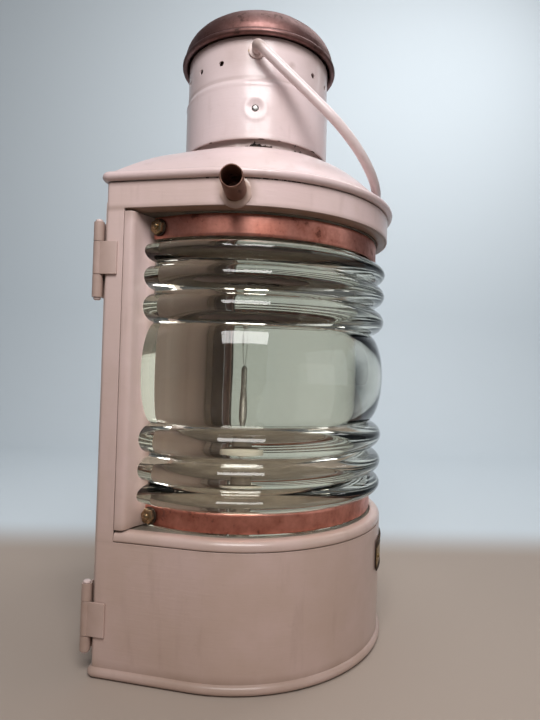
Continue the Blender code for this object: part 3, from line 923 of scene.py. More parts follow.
class Finish(Enum):
    """Every finish on the lantern, with the record's slot that it belongs to."""

    PAINT = ("cream_paint", OldPaint())
    INNER = ("inner_paint", Matter("inner_paint", (0.20, 0.165, 0.13), (0.10, 0.078, 0.06), 0.6))
    BAND = ("bright_copper", Copper())
    CAP = ("aged_copper", Copper("aged_copper", (0.36, 0.205, 0.195), (0.125, 0.062, 0.054),
                                 (0.045, 0.024, 0.020), 0.55, 0.31))
    TUBE = ("tube_copper", Copper("tube_copper", (0.62, 0.38, 0.31), (0.27, 0.150, 0.115),
                                  (0.03, 0.016, 0.013), 0.75, 0.42))
    BRONZE = ("dark_bronze", Alloy("dark_bronze", (0.36, 0.25, 0.14), (0.050, 0.032, 0.022), 0.22, 0.8))
    LENS = ("lens_glass", Glass())
    BULB = ("bulb_glass", Glass("bulb_glass", (0.98, 0.98, 0.97), 1.0, 0.0, 0.0, 0.05))
    PUTTY = ("lens_putty", Matter("lens_putty", (0.20, 0.175, 0.155), (0.09, 0.075, 0.062), 0.8))
    BRASS = ("brass", Alloy("brass", (0.60, 0.43, 0.20), (0.12, 0.080, 0.040), 0.28, 0.6))
    BUSH = ("brass", Overpainted())
    PIN = ("steel", Overpainted("overpainted_steel", metal=(0.16, 0.13, 0.11)))
    CHINA = ("porcelain", Matter("porcelain", (0.72, 0.69, 0.62), (0.60, 0.56, 0.48), 0.25, 0.006,
                                 0.00003, 0.5))
    NECK = ("rusty_neck", FlakedIron())
    STEEL = ("steel", Alloy("steel", (0.42, 0.41, 0.39), (0.10, 0.075, 0.058), 0.34, 0.55))


class Wardrobe:
    """Makes each material once and puts it on the pieces."""

    def __init__(self) -> None:
        """Start with no material made."""
        self.made: dict[str, bpy.types.Material] = {}

    def put(self, item: bpy.types.Object, finish: Finish, stuff: object | None = None) -> None:
        """Dress a piece in a finish.

        Args:
            item: The piece.
            finish: The finish.
            stuff: A variant of the finish to use in its place.
        """
        slot, usual = finish.value
        recipe = stuff or usual
        if recipe.name not in self.made:
            self.made[recipe.name] = recipe.dress()
        item.data.materials.clear()
        item.data.materials.append(self.made[recipe.name])


@dataclass
class Workshop:
    """What every sub-assembly needs: the finishes and the frame's nodes."""

    wardrobe: Wardrobe
    nodes: dict[str, bpy.types.Object]

    def fit(self, item: bpy.types.Object, finish: Finish, body: str, *stands_for: str,
            stuff: object | None = None) -> bpy.types.Object:
        """Dress a new piece, put it on its body and let it stand for its CAD nodes.

        Args:
            item: The piece.
            finish: Its finish.
            body: The CAD body that it rides on.
            stands_for: The CAD nodes that it replaces.
            stuff: A variant of the finish.

        Returns:
            The piece.
        """
        self.wardrobe.put(item, finish, stuff)
        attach(item, body)
        if stands_for:
            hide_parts(*stands_for)
        log.info("made %s: %d faces", item.name, len(item.data.polygons))
        return item

    def keep(self, finish: Finish, *names: str, edge: float = 0.0) -> None:
        """Dress CAD nodes that stay, with softened edges where asked.

        Args:
            finish: Their finish.
            names: The CAD nodes.
            edge: Width of the rounding along their edges.
        """
        for name in names:
            self.wardrobe.put(self.nodes[name], finish)
            if edge:
                soften(self.nodes[name], edge, bake=False)
            log.info("kept %s", name)


# ----------------------------------------------------------------------------
# The lantern's sub-assemblies


@dataclass(frozen=True)
class Measures:
    """The lantern's main sizes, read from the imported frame."""

    half_width: float
    rear: float
    base_top: float
    sill: float
    skirt: float
    body_top: float
    window_rear: float
    top_turn: float
    axis_y: float
    lens_half: float

    @classmethod
    def read(cls) -> "Measures":
        """Read the sizes from the nodes' boxes.

        Returns:
            The measures.
        """
        sill_low, sill_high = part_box("sill_ring")
        shell_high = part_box("body_shell")[1]
        half_width = -sill_low.x
        cap_low, cap_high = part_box("cap")
        axis_y = (cap_low.y + cap_high.y) / 2
        lens_low, lens_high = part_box("lens")
        return cls(
            half_width=half_width,
            rear=shell_high.y - (shell_high.x - half_width),
            base_top=sill_low.z - 0.0003,
            sill=sill_high.z,
            skirt=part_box("soffit_ring")[0].z + 0.0014,
            body_top=shell_high.z,
            window_rear=sill_high.y + 0.0003,
            top_turn=bearing_of(middle_of("chimney_screw_starboard"), axis_y),
            axis_y=axis_y,
            lens_half=pi / 2 + asin(lens_high.y / -lens_low.y),
        )


@dataclass(frozen=True)
class BodyPlan:
    """The D-shaped plan of the body: half-round in front, flat behind."""

    half_width: float
    rear: float
    corner: float = 0.003
    front_steps: int = 112
    side_stops: tuple[float, ...] = ()
    back_stops: tuple[float, ...] = ()

    def loop(self, offset: float, z: float) -> Loop:
        """The plan at a height, grown outwards.

        Args:
            offset: How far it is grown.
            z: The height.

        Returns:
            The points, from the port beam round the front and back again.
        """
        corner = max(self.corner + offset, 0.0005)
        corner_x = self.half_width + offset - corner
        corner_y = self.rear + offset - corner
        stops = [(0.0, 0.0, self.half_width + offset, a) for a in arc(-pi / 2, pi / 2, self.front_steps)]
        stops += [(-corner_x, y, corner, pi / 2) for y in self.side_stops]
        stops += [(-corner_x, corner_y, corner, a) for a in arc(pi / 2, pi, 6)]
        stops += [(x, corner_y, corner, pi) for x in self.back_stops]
        stops += [(corner_x, corner_y, corner, a) for a in arc(pi, 1.5 * pi, 6)]
        stops += [(corner_x, y, corner, 1.5 * pi) for y in reversed(self.side_stops)]
        return [Vector((cx - r * sin(a), cy - r * cos(a), z)) for cx, cy, r, a in stops]

    def outward(self, point: Vector) -> Vector:
        """The direction away from the wall at a point of the plan."""
        if point.y < 0.0:
            return Vector((point.x, point.y, 0.0)).normalized()
        if point.y > self.rear - 0.001:
            return ASTERN
        return Vector((-1.0 if point.x < 0 else 1.0, 0.0, 0.0))


@dataclass
class Body:
    """The wrapped sheet of the body with the surround of its window."""

    size: Measures
    sheet: float = 0.0012
    bead_r: float = 0.0030
    bead_in: float = 0.0006
    surround_depth: float = 0.0071
    wobble: float = 0.00022
    door_half: float = 0.0900

    def plan(self) -> BodyPlan:
        """The body's plan, with stops where its openings are cut."""
        fold = self.size.window_rear
        sides = [fold * i / 9 for i in range(1, 10)] + [0.0560]
        backs = arc(-self.door_half, self.door_half, 40)
        backs = [-0.0965] + backs + [0.0965]
        return BodyPlan(self.size.half_width, self.size.rear,
                        side_stops=tuple(sides), back_stops=tuple(backs))

    def heights(self) -> list[float]:
        """Heights of the wall's rows, with stops at the openings' edges."""
        size = self.size
        door_low, door_high = self.door_span()
        top = 2 * self.bead_r
        rows = arc(top, door_low, 2) + arc(door_low, size.base_top, 20)[1:]
        rows += arc(size.base_top, door_high, 54)[1:] + [size.skirt]
        rows += arc(size.skirt, size.body_top, 5)[1:]
        return rows

    def door_span(self) -> tuple[float, float]:
        """Lower and upper edge of the hole in the back wall."""
        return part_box("rear_door")[0].z + 0.0040, self.size.skirt - 0.0030

    def shell(self) -> bpy.types.Object:
        """The sheet with its wired foot, its window and the hole behind.

        Returns:
            The shell.
        """
        size = self.size
        plan = self.plan()
        profile = bead(-self.bead_in, self.bead_r, self.bead_r, -215, 74, 18)
        profile += [(0.0, z) for z in self.heights()]
        made = Build("body_sheet").loft([plan.loop(o, z) for o, z in profile], Join.OPEN)
        low, high = self.door_span()

        def opening(p: Vector) -> bool:
            """Whether a face lies in the window or in the hole behind."""
            window = p.y < size.window_rear and size.base_top < p.z < size.skirt
            back = p.y > size.rear - 0.0005 and abs(p.x) < self.door_half and low < p.z < high
            return window or back

        made.drop(opening)
        made.move(lambda p: plan.outward(p) * self.wobble * dent(p, 0.030, 3.0) * smooth(0.004, 0.012, p.z))
        item = made.make()
        thicken(item, self.sheet)
        soften(item, 0.00045, 50.0)
        return item

    def mask(self, item: bpy.types.Object) -> None:
        """Store where the shell is chipped, where it is soiled, where shade is painted and which faces are
        inside.

        Args:
            item: The shell.
        """
        size = self.size
        root = self.tube_root()

        def grime_and_shade(p: Vector) -> float:
            """Dirt in the seams, under the rim, round the tube and above the foot, and dirt with painted
            shade along the skirt's lower edge.
            """
            seam = fade(0.0035, abs(p.z - size.base_top))
            foot = fade(0.007, abs(p.z - 0.0062))
            # Along the skirt's lower edge: dirt and painted shade.
            skirt = fade(0.0045, p.z - size.skirt) if p.z >= size.skirt - 0.002 else 0.0
            rim = fade(0.003, size.body_top - p.z)
            tube = 1.0 - smooth(0.008, 0.017, (p - root).length)
            return max(0.35 * seam, 0.55 * foot, 0.55 * skirt, 0.5 * rim, 0.8 * tube)

        def chip(p: Vector) -> float:
            """Chipping on the foot, the skirt's edge and the rear corners."""
            foot = fade(0.0035, p.z)
            skirt = fade(0.0014, abs(p.z - size.skirt))
            corner = smooth(size.rear - 0.0035, size.rear - 0.0005, p.y) * smooth(0.100, 0.1045, abs(p.x))
            edge = smooth(0.0, 0.0015, self.door_half - abs(p.x)) if p.y > size.rear - 0.002 else 0.0
            return max(0.62 * foot, 0.40 * skirt, 0.50 * corner, 0.2 * edge)

        def inner(p: Vector) -> float:
            """The inside of the sheet above the foot, which takes a darker colour as painted shade of the
            closed interior.
            """
            front = size.half_width - hypot(p.x, p.y)
            side = size.half_width - abs(p.x)
            deep = front if p.y < 0.0 else min(side, size.rear - p.y)
            return smooth(0.0006, 0.0009, deep) * smooth(0.004, 0.008, p.z)

        paint_mask(item, "grime_and_shade", grime_and_shade)
        paint_mask(item, "chip", chip)
        paint_mask(item, "inner", inner)

    def tube_root(self) -> Vector:
        """Where the side tube comes through the wall."""
        low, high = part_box("side_tube")
        middle = (low + high) / 2
        return at_bearing(bearing_of(middle), self.size.half_width, middle.z)

    def surround(self, name: str, profile: Sequence[tuple[float, float]]) -> bpy.types.Object:
        """Sweep a section round the front and along both sides.

        Args:
            name: The piece's name.
            profile: Closed section as pairs of outward offset and height.

        Returns:
            The piece.
        """
        rear = self.size.window_rear - 0.0003
        stops = [(rear * i / 6, pi / 2) for i in range(6, 0, -1)]
        stops += [(0.0, a) for a in arc(pi / 2, -pi / 2, 112)]
        stops += [(rear * i / 6, -pi / 2) for i in range(1, 7)]
        loops = []
        for y, a in stops:
            loops.append([at_bearing(a, self.size.half_width + o, z, centre_y=y) for o, z in profile])
        return Build(name).loft(loops, Join.CAPPED).make(50.0)

    def sill(self) -> bpy.types.Object:
        """The sill: a round shoulder that runs in to the lens."""
        base = self.size.base_top + 0.0003
        top = self.size.sill
        depth = self.surround_depth
        outer = [(-0.0009, base), (-0.0003, base + 0.0002), (0.0, base + 0.0007), (0.0, base + 0.0018)]
        outer += [(-0.0036 + 0.0036 * cos(a), top - 0.0046 + 0.0040 * sin(a)) for a in arc(0.15, 1.35, 8)]
        outer += [(-depth + 0.0006, top - 0.0001), (-depth, top - 0.0004), (-depth, top - 0.0013)]
        inner = [(-0.0036 + 0.0023 * cos(a), top - 0.0046 + 0.0026 * sin(a)) for a in arc(1.35, 0.15, 6)]
        item = self.surround("sill", outer + inner + [(-0.0013, base)])
        paint_mask(item, "grime_and_shade", lambda p: max(
            0.5 * smooth(top - 0.0012, top - 0.0002, p.z) * smooth(0.1005, 0.0985, hypot(p.x, p.y)),
            0.55 * fade(0.0018, p.z - base)))
        paint_mask(item, "chip", lambda p: 0.42 * smooth(top - 0.0016, top - 0.0002, p.z))
        return item

    def soffit(self) -> bpy.types.Object:
        """The soffit, turned in under the skirt."""
        z = self.size.skirt
        depth = self.surround_depth
        section = [
            (-0.0014, z + 0.0012), (-0.0014, z + 0.0001), (-0.0020, z - 0.0004),
            (-depth + 0.0006, z - 0.0014), (-depth, z - 0.0010), (-depth, z - 0.0001), (-0.0026, z + 0.0009),
        ]
        item = self.surround("soffit", section)
        # The whole soffit is darkened: dirt and painted shade under the skirt.
        paint_mask(item, "grime_and_shade", lambda p: 0.85)
        paint_mask(item, "chip", lambda p: 0.30)
        return item

    def jamb(self, side: str, sign: int) -> bpy.types.Object:
        """The wall that closes the window behind one end of the lens.

        Args:
            side: The side's name.
            sign: 1 for starboard, -1 for port.

        Returns:
            The jamb.
        """
        size = self.size
        low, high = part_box(f"jamb_{side}")
        rear = high.y
        wall = size.half_width
        half = size.lens_half
        lip = at_bearing(half, 0.1045, 0.0, across=0.0018)
        deep = at_bearing(half, 0.0860, 0.0, across=0.0018)
        fold = Vector((-wall, 0.0440, 0.0))
        bend = 0.0016
        path = [Vector((-wall, rear, 0.0)), Vector((-wall, fold.y + 2 * bend, 0.0))]
        turn = [(fold + Vector((0.0, 2 * bend, 0.0))), fold, fold + (lip - fold).normalized() * 2 * bend]
        for t in arc(0.0, 1.0, 6)[1:]:
            path.append(turn[0].lerp(turn[1], t).lerp(turn[1].lerp(turn[2], t), t))
        for end in (lip, deep):
            start = path[-1]
            steps = max(2, round((end - start).length / 0.003))
            path += [start.lerp(end, i / steps) for i in range(1, steps + 1)]
        rows = arc(low.z, high.z, 60)
        loops = [[Vector((sign * p.x, p.y, z)) for p in path] for z in rows]
        made = Build(f"window_jamb_{side}").loft(loops, Join.OPEN, closed=False)
        away = Vector((-sign * 0.7, -0.7, 0.0))
        made.move(lambda p: away * self.wobble * 0.8
                  * dent(p, 0.022, 9.0 + sign) * smooth(rear, rear - 0.006, p.y))
        item = made.make()
        facing = sum((f.normal.x * f.area for f in item.data.polygons), 0.0)
        if facing * sign > 0:
            item.data.flip_normals()
        thicken(item, self.sheet)
        soften(item, 0.0004, 50.0)

        def grime_and_shade(p: Vector) -> float:
            """Dirt beside the lens, at the fold and in the corners above and below."""
            near_lens = fade(0.006, hypot(p.x, p.y) - 0.0960)
            ends = max(fade(0.008, p.z - low.z), fade(0.012, high.z - p.z))
            crease = fade(0.0016, rear - p.y)
            return max(0.75 * near_lens, 0.55 * ends, 0.45 * crease)

        paint_mask(item, "grime_and_shade", grime_and_shade)
        paint_mask(item, "chip", lambda p: 0.36 * fade(0.0022, abs(p.y - fold.y)))
        return item

    def build(self, shop: Workshop) -> None:
        """Make and dress the body's pieces.

        Args:
            shop: The workshop.
        """
        shell = self.shell()
        self.mask(shell)
        size = self.size
        # The body's paint darkens in a band along the skirt's lower edge: dirt and painted shade.
        body_paint = OldPaint("body_paint", stain_and_shade_bands=((size.skirt, 0.0030),), low=0.0, high=0.27)
        shop.fit(shell, Finish.PAINT, "body", "body_shell", stuff=body_paint)
        shop.fit(self.sill(), Finish.PAINT, "body", "sill_ring", stuff=body_paint)
        # The soffit's dark brown paint stands for dirt and painted shade under the skirt.
        dark = OldPaint("soffit_soiled_and_shaded_paint", fresh=(0.40, 0.27, 0.215), faded=(0.25, 0.16, 0.12),
                        use=Worn.BATTERED, low=0.0, high=0.1)
        shop.fit(self.soffit(), Finish.PAINT, "body", "soffit_ring", stuff=dark)
        for side, sign in (("starboard", 1), ("port", -1)):
            shop.fit(self.jamb(side, sign), Finish.PAINT, "body", f"jamb_{side}", stuff=body_paint)
        shop.keep(Finish.INNER, "lower_deck", "upper_deck", "base_plate", edge=0.0003)


@dataclass
class Hood:
    """The hood: a rolled rim on the body's plan, drawn in to the round neck."""

    size: Measures
    bead_r: float = 0.0029
    bead_out: float = 0.0005
    bulge: float = 0.0042
    crown: float = 0.0016
    lip: float = 0.0006

    def circle(self, plan: BodyPlan, radius: float, z: float) -> Loop:
        """A circle round the chimney's axis with a point for each point of the plan.

        Args:
            plan: The body's plan.
            radius: The circle's radius.
            z: Its height.

        Returns:
            The points.
        """
        points = []
        for p in plan.loop(0.0, z):
            run = Vector((p.x, p.y - self.size.axis_y, 0.0)).normalized() * radius
            points.append(Vector((run.x, self.size.axis_y + run.y, z)))
        return points

    def build(self, shop: Workshop) -> None:
        """Make and dress the hood.

        Args:
            shop: The workshop.
        """
        low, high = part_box("hood")
        sides = tuple(arc(0.0, 0.056, 10)[1:])
        backs = tuple(arc(-0.0965, 0.0965, 36))
        plan = BodyPlan(self.size.half_width, self.size.rear, side_stops=sides, back_stops=backs)
        bead_z = low.z + self.bead_r
        top_z = high.z - self.lip
        neck_low, neck_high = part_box("chimney_neck")
        neck_r = (neck_high.x - neck_low.x) / 2
        collar = neck_r + 0.0006
        chimney_low, chimney_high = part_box("chimney")
        top_r = (chimney_high.x - chimney_low.x) / 2 + 0.0014
        loops = [plan.loop(o, z) for o, z in bead(self.bead_out, bead_z, self.bead_r, -180, 104, 16)]
        rim = plan.loop(-0.0006, bead_z + self.bead_r * 0.93)
        top = self.circle(plan, top_r, top_z)
        for t in arc(0.0, 1.0, 22)[1:]:
            lift = self.bulge * sin(pi * t) + self.crown * t
            row = [a.lerp(b, t) + Vector((0.0, 0.0, lift)) for a, b in zip(rim, top)]
            loops.append(row)
        for r, z in ((0.0546, 0.0004), (0.0530, 0.0007), (collar + 0.0004, 0.0009), (collar, 0.0012)):
            loops.append(self.circle(plan, r, top_z + self.crown + z))
        made = Build("hood_sheet").loft(loops, Join.OPEN)
        made.move(lambda p: Vector((0.0, 0.0, 0.00035 * dent(p, 0.035, 5.0)
                                    * smooth(bead_z, bead_z + 0.006, p.z))))
        item = made.make(60.0)
        thicken(item, 0.0010)
        soften(item, 0.0003, 60.0)

        def from_axis(p: Vector) -> float:
            """Distance from the chimney's axis."""
            return hypot(p.x, p.y - self.size.axis_y)

        paint_mask(item, "grime_and_shade", lambda p: max(
            0.75 * (1.0 - smooth(0.0535, 0.0605, from_axis(p))),
            0.45 * fade(0.0022, abs(p.z - bead_z - self.bead_r)),
            0.5 * fade(0.0016, p.z - low.z)))
        paint_mask(item, "chip", lambda p: max(
            0.42 * fade(0.0020, abs(p.z - bead_z)) * smooth(0.106, 0.108, hypot(p.x, min(p.y, 0.0))),
            0.55 * (1.0 - smooth(0.0525, 0.0560, from_axis(p)))))
        # The hood's paint is a lighter copy of the body's paint: painted light for the better-lit top.
        shop.fit(item, Finish.PAINT, "body", "hood",
                 stuff=OldPaint("top_paint_lit_copy", fresh=(0.745, 0.575, 0.570), faded=(0.70, 0.540, 0.52),
                                high=0.20))


@dataclass
class Chimney:
    """The chimney with its swage, vents and two set screws, over the rusty neck."""

    size: Measures
    wall: float = 0.0010
    swage_rise: float = 0.0390
    draw_in: float = 0.0008
    dish_r: float = 0.0070
    dish_depth: float = 0.0009
    vent_r: float = 0.0019
    vent_offsets: tuple[float, ...] = (27.5, 48.5, 69.5, 90.5, 110.5, 131.5, 152.5)
    reach: float = 0.0040
    rows: int = 54
    steps: int = 240

    def middle(self, bearing: float, radius: float, z: float) -> Vector:
        """A point on the chimney's wall."""
        return at_bearing(bearing, radius, z, centre_y=self.size.axis_y)

    def radius_at(self, z: float, low: float, radius: float) -> float:
        """The wall's radius at a height.

        Args:
            z: The height.
            low: The chimney's lower edge.
            radius: Its radius at the foot.

        Returns:
            The radius, with the rounded swage and the slimmer top.
        """
        swage = low + self.swage_rise
        ridge = 0.0004 * exp(-((z - swage + 0.0004) / 0.0014) ** 2)
        groove = 0.0003 * exp(-((z - swage - 0.0032) / 0.0013) ** 2)
        hem = 0.0003 * exp(-((z - low) / 0.0012) ** 2)
        slim = self.draw_in * smooth(swage - 0.0006, swage + 0.0026, z)
        return radius + ridge + hem - slim - groove

    def sleeve(self) -> bpy.types.Object:
        """The chimney's tube.

        Returns:
            The tube with its dents and holes.
        """
        low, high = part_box("chimney")
        radius = self.wall_radius()
        screw_z = self.screw_height()
        pivot_z = self.pivot_height()
        vent_z = pivot_z - 0.0065
        loops = []
        for z in arc(low.z, high.z + self.reach, self.rows):
            r = self.radius_at(z, low.z, radius)
            loops.append([self.middle(a, r, z) for a in arc(0.0, 2 * pi, self.steps)[:-1]])
        dishes = [self.middle(b, radius, screw_z) for b in self.sides()]
        closed = self.middle(self.size.top_turn - radians(self.vent_offsets[0]), radius, vent_z)
        made = Build("chimney_tube").loft(loops, Join.OPEN)

        def push(p: Vector) -> Vector:
            """Press the screws' dishes, the closed vent and a slow unevenness."""
            depth = -0.00022 * dent(p, 0.028, 21.0)
            for dish in dishes:
                away = (p - dish).length
                depth += self.dish_depth * (1.0 - smooth(0.0012, self.dish_r, away))
                depth -= 0.00025 * exp(-((away - self.dish_r) / 0.0016) ** 2)
            depth += 0.0007 * (1.0 - smooth(0.0004, 0.0024, (p - closed).length))
            inward = Vector((-p.x, self.size.axis_y - p.y, 0.0)).normalized()
            return inward * depth

        item = made.move(push).make(60.0)
        thicken(item, self.wall)
        soften(item, 0.00035, 60.0)
        tools = []
        for sign in (1, -1):
            for offset in self.vent_offsets:
                if sign < 0 and offset == self.vent_offsets[0]:
                    continue
                bearing = self.size.top_turn + sign * radians(offset)
                tools.append(self.drill(bearing, vent_z, self.vent_r, radius))
        for bearing in self.sides():
            tools.append(self.drill(bearing, screw_z, 0.0024, radius))
            tools.append(self.drill(bearing, pivot_z, 0.0047, radius))
        cut(item, tools)
        holes = [(self.size.top_turn + s * radians(o)) for o in self.vent_offsets for s in (1, -1)]

        def grime_and_shade(p: Vector) -> float:
            """Dirt round the holes, under the cap and along the hem, and painted shade in the groove above
            the swage's ridge.
            """
            turn = bearing_of(p, self.size.axis_y)
            level = abs(p.z - vent_z)
            hole = 0.0
            if level < 0.006:
                near = min(turn_apart(turn, h) for h in holes) * radius
                hole = 1.0 - smooth(0.0020, 0.0046, hypot(near, level))
            # Painted shade in the groove above the swage's ridge.
            below = fade(0.0040, abs(p.z - low.z - self.swage_rise - 0.0028))
            hem = fade(0.0055, p.z - low.z)
            under_cap = smooth(high.z - 0.007, high.z, p.z)
            inside = smooth(radius - 0.0006, radius - 0.0010, hypot(p.x, p.y - self.size.axis_y))
            screw = max(1.0 - smooth(0.0022, 0.0036, (p - d).length) for d in dishes)
            return max(0.42 * hole, 0.28 * below, 0.45 * hem, 0.5 * under_cap, 0.5 * screw, 0.55 * inside)

        paint_mask(item, "grime_and_shade", grime_and_shade)
        paint_mask(item, "chip", lambda p: max(
            0.66 * fade(0.0016, p.z - low.z),
            0.5 * (1.0 - smooth(0.0018, 0.0027, min((p - d).length for d in dishes)))))
        return item

    def sides(self) -> tuple[float, float]:
        """Bearings of the two screws and pivots."""
        return self.size.top_turn, self.size.top_turn + pi

    def screw_height(self) -> float:
        """Height of the set screws."""
        low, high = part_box("chimney_screw_starboard")
        return (low.z + high.z) / 2

    def pivot_height(self) -> float:
        """Height of the bail's pivots."""
        low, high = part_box("bail_bush_starboard")
        return (low.z + high.z) / 2

    def drill(self, bearing: float, z: float, hole_r: float, radius: float) -> bpy.types.Object:
        """A cutter for a round hole through the wall.

        Args:
            bearing: Where the hole is.
            z: Its height.
            hole_r: Its radius.
            radius: The wall's radius.

        Returns:
            The cutter.
        """
        out = self.middle(bearing, 1.0, z) - self.middle(bearing, 0.0, z)
        base = self.middle(bearing, radius, z)
        return turned_on("drill", base, out, [(hole_r, -0.004), (hole_r, 0.004)], sides=24).make()

    def screw(self, side: str, bearing: float) -> bpy.types.Object:
        """A slotted set screw with a domed head.

        Args:
            side: The side's name.
            bearing: The screw's bearing.

        Returns:
            The screw.
        """
        wall = self.wall_radius()
        z = self.screw_height()
        out = self.middle(bearing, 1.0, z) - self.middle(bearing, 0.0, z)
        base = self.middle(bearing, wall, z)
        profile = [(0.0010, -0.0060), (0.0014, -0.0055), (0.0014, -0.0012), (0.0020, -0.0011)]
        profile += [(0.0020 * cos(a), -0.0006 + 0.0006 * sin(a)) for a in arc(0.0, radians(80), 5)]
        item = turned_on(f"set_screw_{side}", base, out, profile, sides=28).make()
        across = out.cross(UP)
        way = (across * 0.8 + Vector((0.0, 0.0, 0.6))).normalized()
        slot = slab("slot", base + out * 0.0002, way * 0.003, out.cross(way) * 0.00028, out * 0.0006)
        cut(item, [slot])
        return item

    def bush(self, side: str, bearing: float) -> bpy.types.Object:
        """The flanged bush that a bail end turns in.

        Args:
            side: The side's name.
            bearing: Its bearing.

        Returns:
            The bush.
        """
        low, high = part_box(f"bail_bush_{side}")
        flange = (high.z - low.z) / 2
        face = self.wall_radius() - self.draw_in
        z = self.pivot_height()
        out = self.middle(bearing, 1.0, z) - self.middle(bearing, 0.0, z)
        bore = 0.0034 + RUNNING_FIT
        barrel = flange - 0.0014
        profile = [
            (bore, -0.0021), (barrel, -0.0021), (barrel, 0.0003), (flange - 0.0003, 0.0003),
            (flange, 0.0006), (flange - 0.0002, 0.0011), (flange - 0.0010, 0.0013), (bore, 0.0013),
        ]
        base = self.middle(bearing, face, z)
        return turned_on(f"pivot_bush_{side}", base, out, profile, Join.RING, 40).make()

    def wall_radius(self) -> float:
        """Outer radius of the plain sheet, without its raised ridge."""
        return half_of("chimney") - 0.0005

    def neck(self) -> bpy.types.Object:
        """The rusty pipe inside, uneven where its paint has flaked.

        Returns:
            The pipe.
        """
        low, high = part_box("chimney_neck")
        radius = (high.x - low.x) / 2
        outer = [(radius, z) for z in arc(low.z, high.z, 48)]
        inner = [(radius - self.wall, high.z), (radius - self.wall, low.z)]
        made = turned("inner_neck", outer + inner, Join.RING, (0.0, self.size.axis_y), 180)
        hood_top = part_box("hood")[1].z

        def flake(p: Vector) -> Vector:
            """Lift flakes from the outer face, between the hood and the chimney."""
            if hypot(p.x, p.y - self.size.axis_y) < radius - 0.0004:
                return Vector()
            gap = smooth(hood_top - 0.001, hood_top + 0.001, p.z) * (1.0 - smooth(0.349, 0.352, p.z))
            out = Vector((p.x, p.y - self.size.axis_y, 0.0)).normalized()
            rough = max(0.0, noise.noise(p / 0.0050 + Vector((4.0, 0.0, 0.0))) - 0.05)
            return out * (0.0016 * rough * gap)

        item = made.move(flake).make(60.0)

        def bare(p: Vector) -> float:
            """Bare iron on the starboard side of the gap, and out of sight."""
            turn = turn_apart(bearing_of(p, self.size.axis_y), self.size.top_turn - radians(8.0))
            patch = 1.0 - smooth(0.18, 0.50, turn)
            foot = 1.0 - smooth(hood_top + 0.0010, hood_top + 0.0075, p.z)
            hidden = smooth(0.352, 0.358, p.z)
            return max(0.24, patch * foot, hidden)

        paint_mask(item, "bare", bare)
        return item

    def build(self, shop: Workshop) -> None:
        """Make and dress the chimney's pieces.

        Args:
            shop: The workshop.
        """
        # The chimney's paint is a lighter, whiter copy of the body's paint: painted light and painted
        # highlight for the well-lit chimney.
        bright = OldPaint("chimney_paint_lit_copy", fresh=(0.765, 0.625, 0.625), faded=(0.735, 0.590, 0.580),
                          high=0.20)
        shop.fit(self.sleeve(), Finish.PAINT, "body", "chimney", stuff=bright)
        shop.fit(self.neck(), Finish.NECK, "body", "chimney_neck")
        for side, bearing in zip(("starboard", "port"), self.sides()):
            shop.fit(self.screw(side, bearing), Finish.STEEL, "body", f"chimney_screw_{side}")
            shop.fit(self.bush(side, bearing), Finish.BUSH, "body", f"bail_bush_{side}")


def slab(name: str, middle: Vector, half_a: Vector, half_b: Vector, half_c: Vector) -> bpy.types.Object:
    """A block from its middle and three half edges.

    Args:
        name: The block's name.
        middle: Its middle.
        half_a: Half of its first edge.
        half_b: Half of its second edge.
        half_c: Half of its third edge.

    Returns:
        The block.
    """
    loops = []
    for c in (-half_c, half_c):
        loops.append([middle + c - half_a - half_b, middle + c + half_a - half_b,
                      middle + c + half_a + half_b, middle + c - half_a + half_b])
    return Build(name).loft(loops, Join.CAPPED).make()


@dataclass
class Cap:
    """The copper cap: a dome with a rolled lip, on three brass straps."""

    size: Measures
    sheet: float = 0.0010
    lip_r: float = 0.0021
    steps: int = 160

    def build(self, shop: Workshop) -> None:
        """Make and dress the cap.

        Args:
            shop: The workshop.
        """
        low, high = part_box("cap")
        lip_out = half_of("cap")
        dome_r = lip_out - 0.0018
        rim_z = low.z + 0.0050
        dome_h = high.z - rim_z
        turns = arc(pi / 2 - 0.004, 0.06, 40)
        crown = [(dome_r * cos(a), rim_z + 0.0006 + (dome_h - 0.0006) * sin(a)) for a in turns]
        groove = [(dome_r - 0.0002, rim_z + 0.0009), (dome_r - 0.0001, rim_z + 0.0002)]
        lip = bead(lip_out - self.lip_r, low.z + self.lip_r + 0.0002, self.lip_r, 96, -150, 16)
        made = turned("cap_dome", crown + groove + lip, Join.OPEN, (0.0, self.size.axis_y), self.steps)
        top = len(made.verts)
        made.verts.append(Vector((0.0, self.size.axis_y, high.z)))
        made.faces += [(i, (i + 1) % self.steps, top) for i in range(self.steps)]

        def beaten(p: Vector) -> Vector:
            """A slow unevenness and a few small knocks."""
            out = Vector((p.x, p.y - self.size.axis_y, (p.z - rim_z) * 1.5))
            if out.length < 1e-6:
                return Vector()
            knocks = max(0.0, noise.noise(p / 0.012 + Vector((7.0, 1.0, 3.0))) - 0.38)
            return out.normalized() * (0.00022 * dent(p, 0.030, 13.0) - 0.0018 * knocks - 0.0002)

        item = made.move(beaten).make(60.0)
        thicken(item, self.sheet)
        shop.fit(item, Finish.CAP, "body", "cap")
        shop.keep(Finish.BRASS, "cap_strap_1", "cap_strap_2", "cap_strap_3", edge=0.0002)


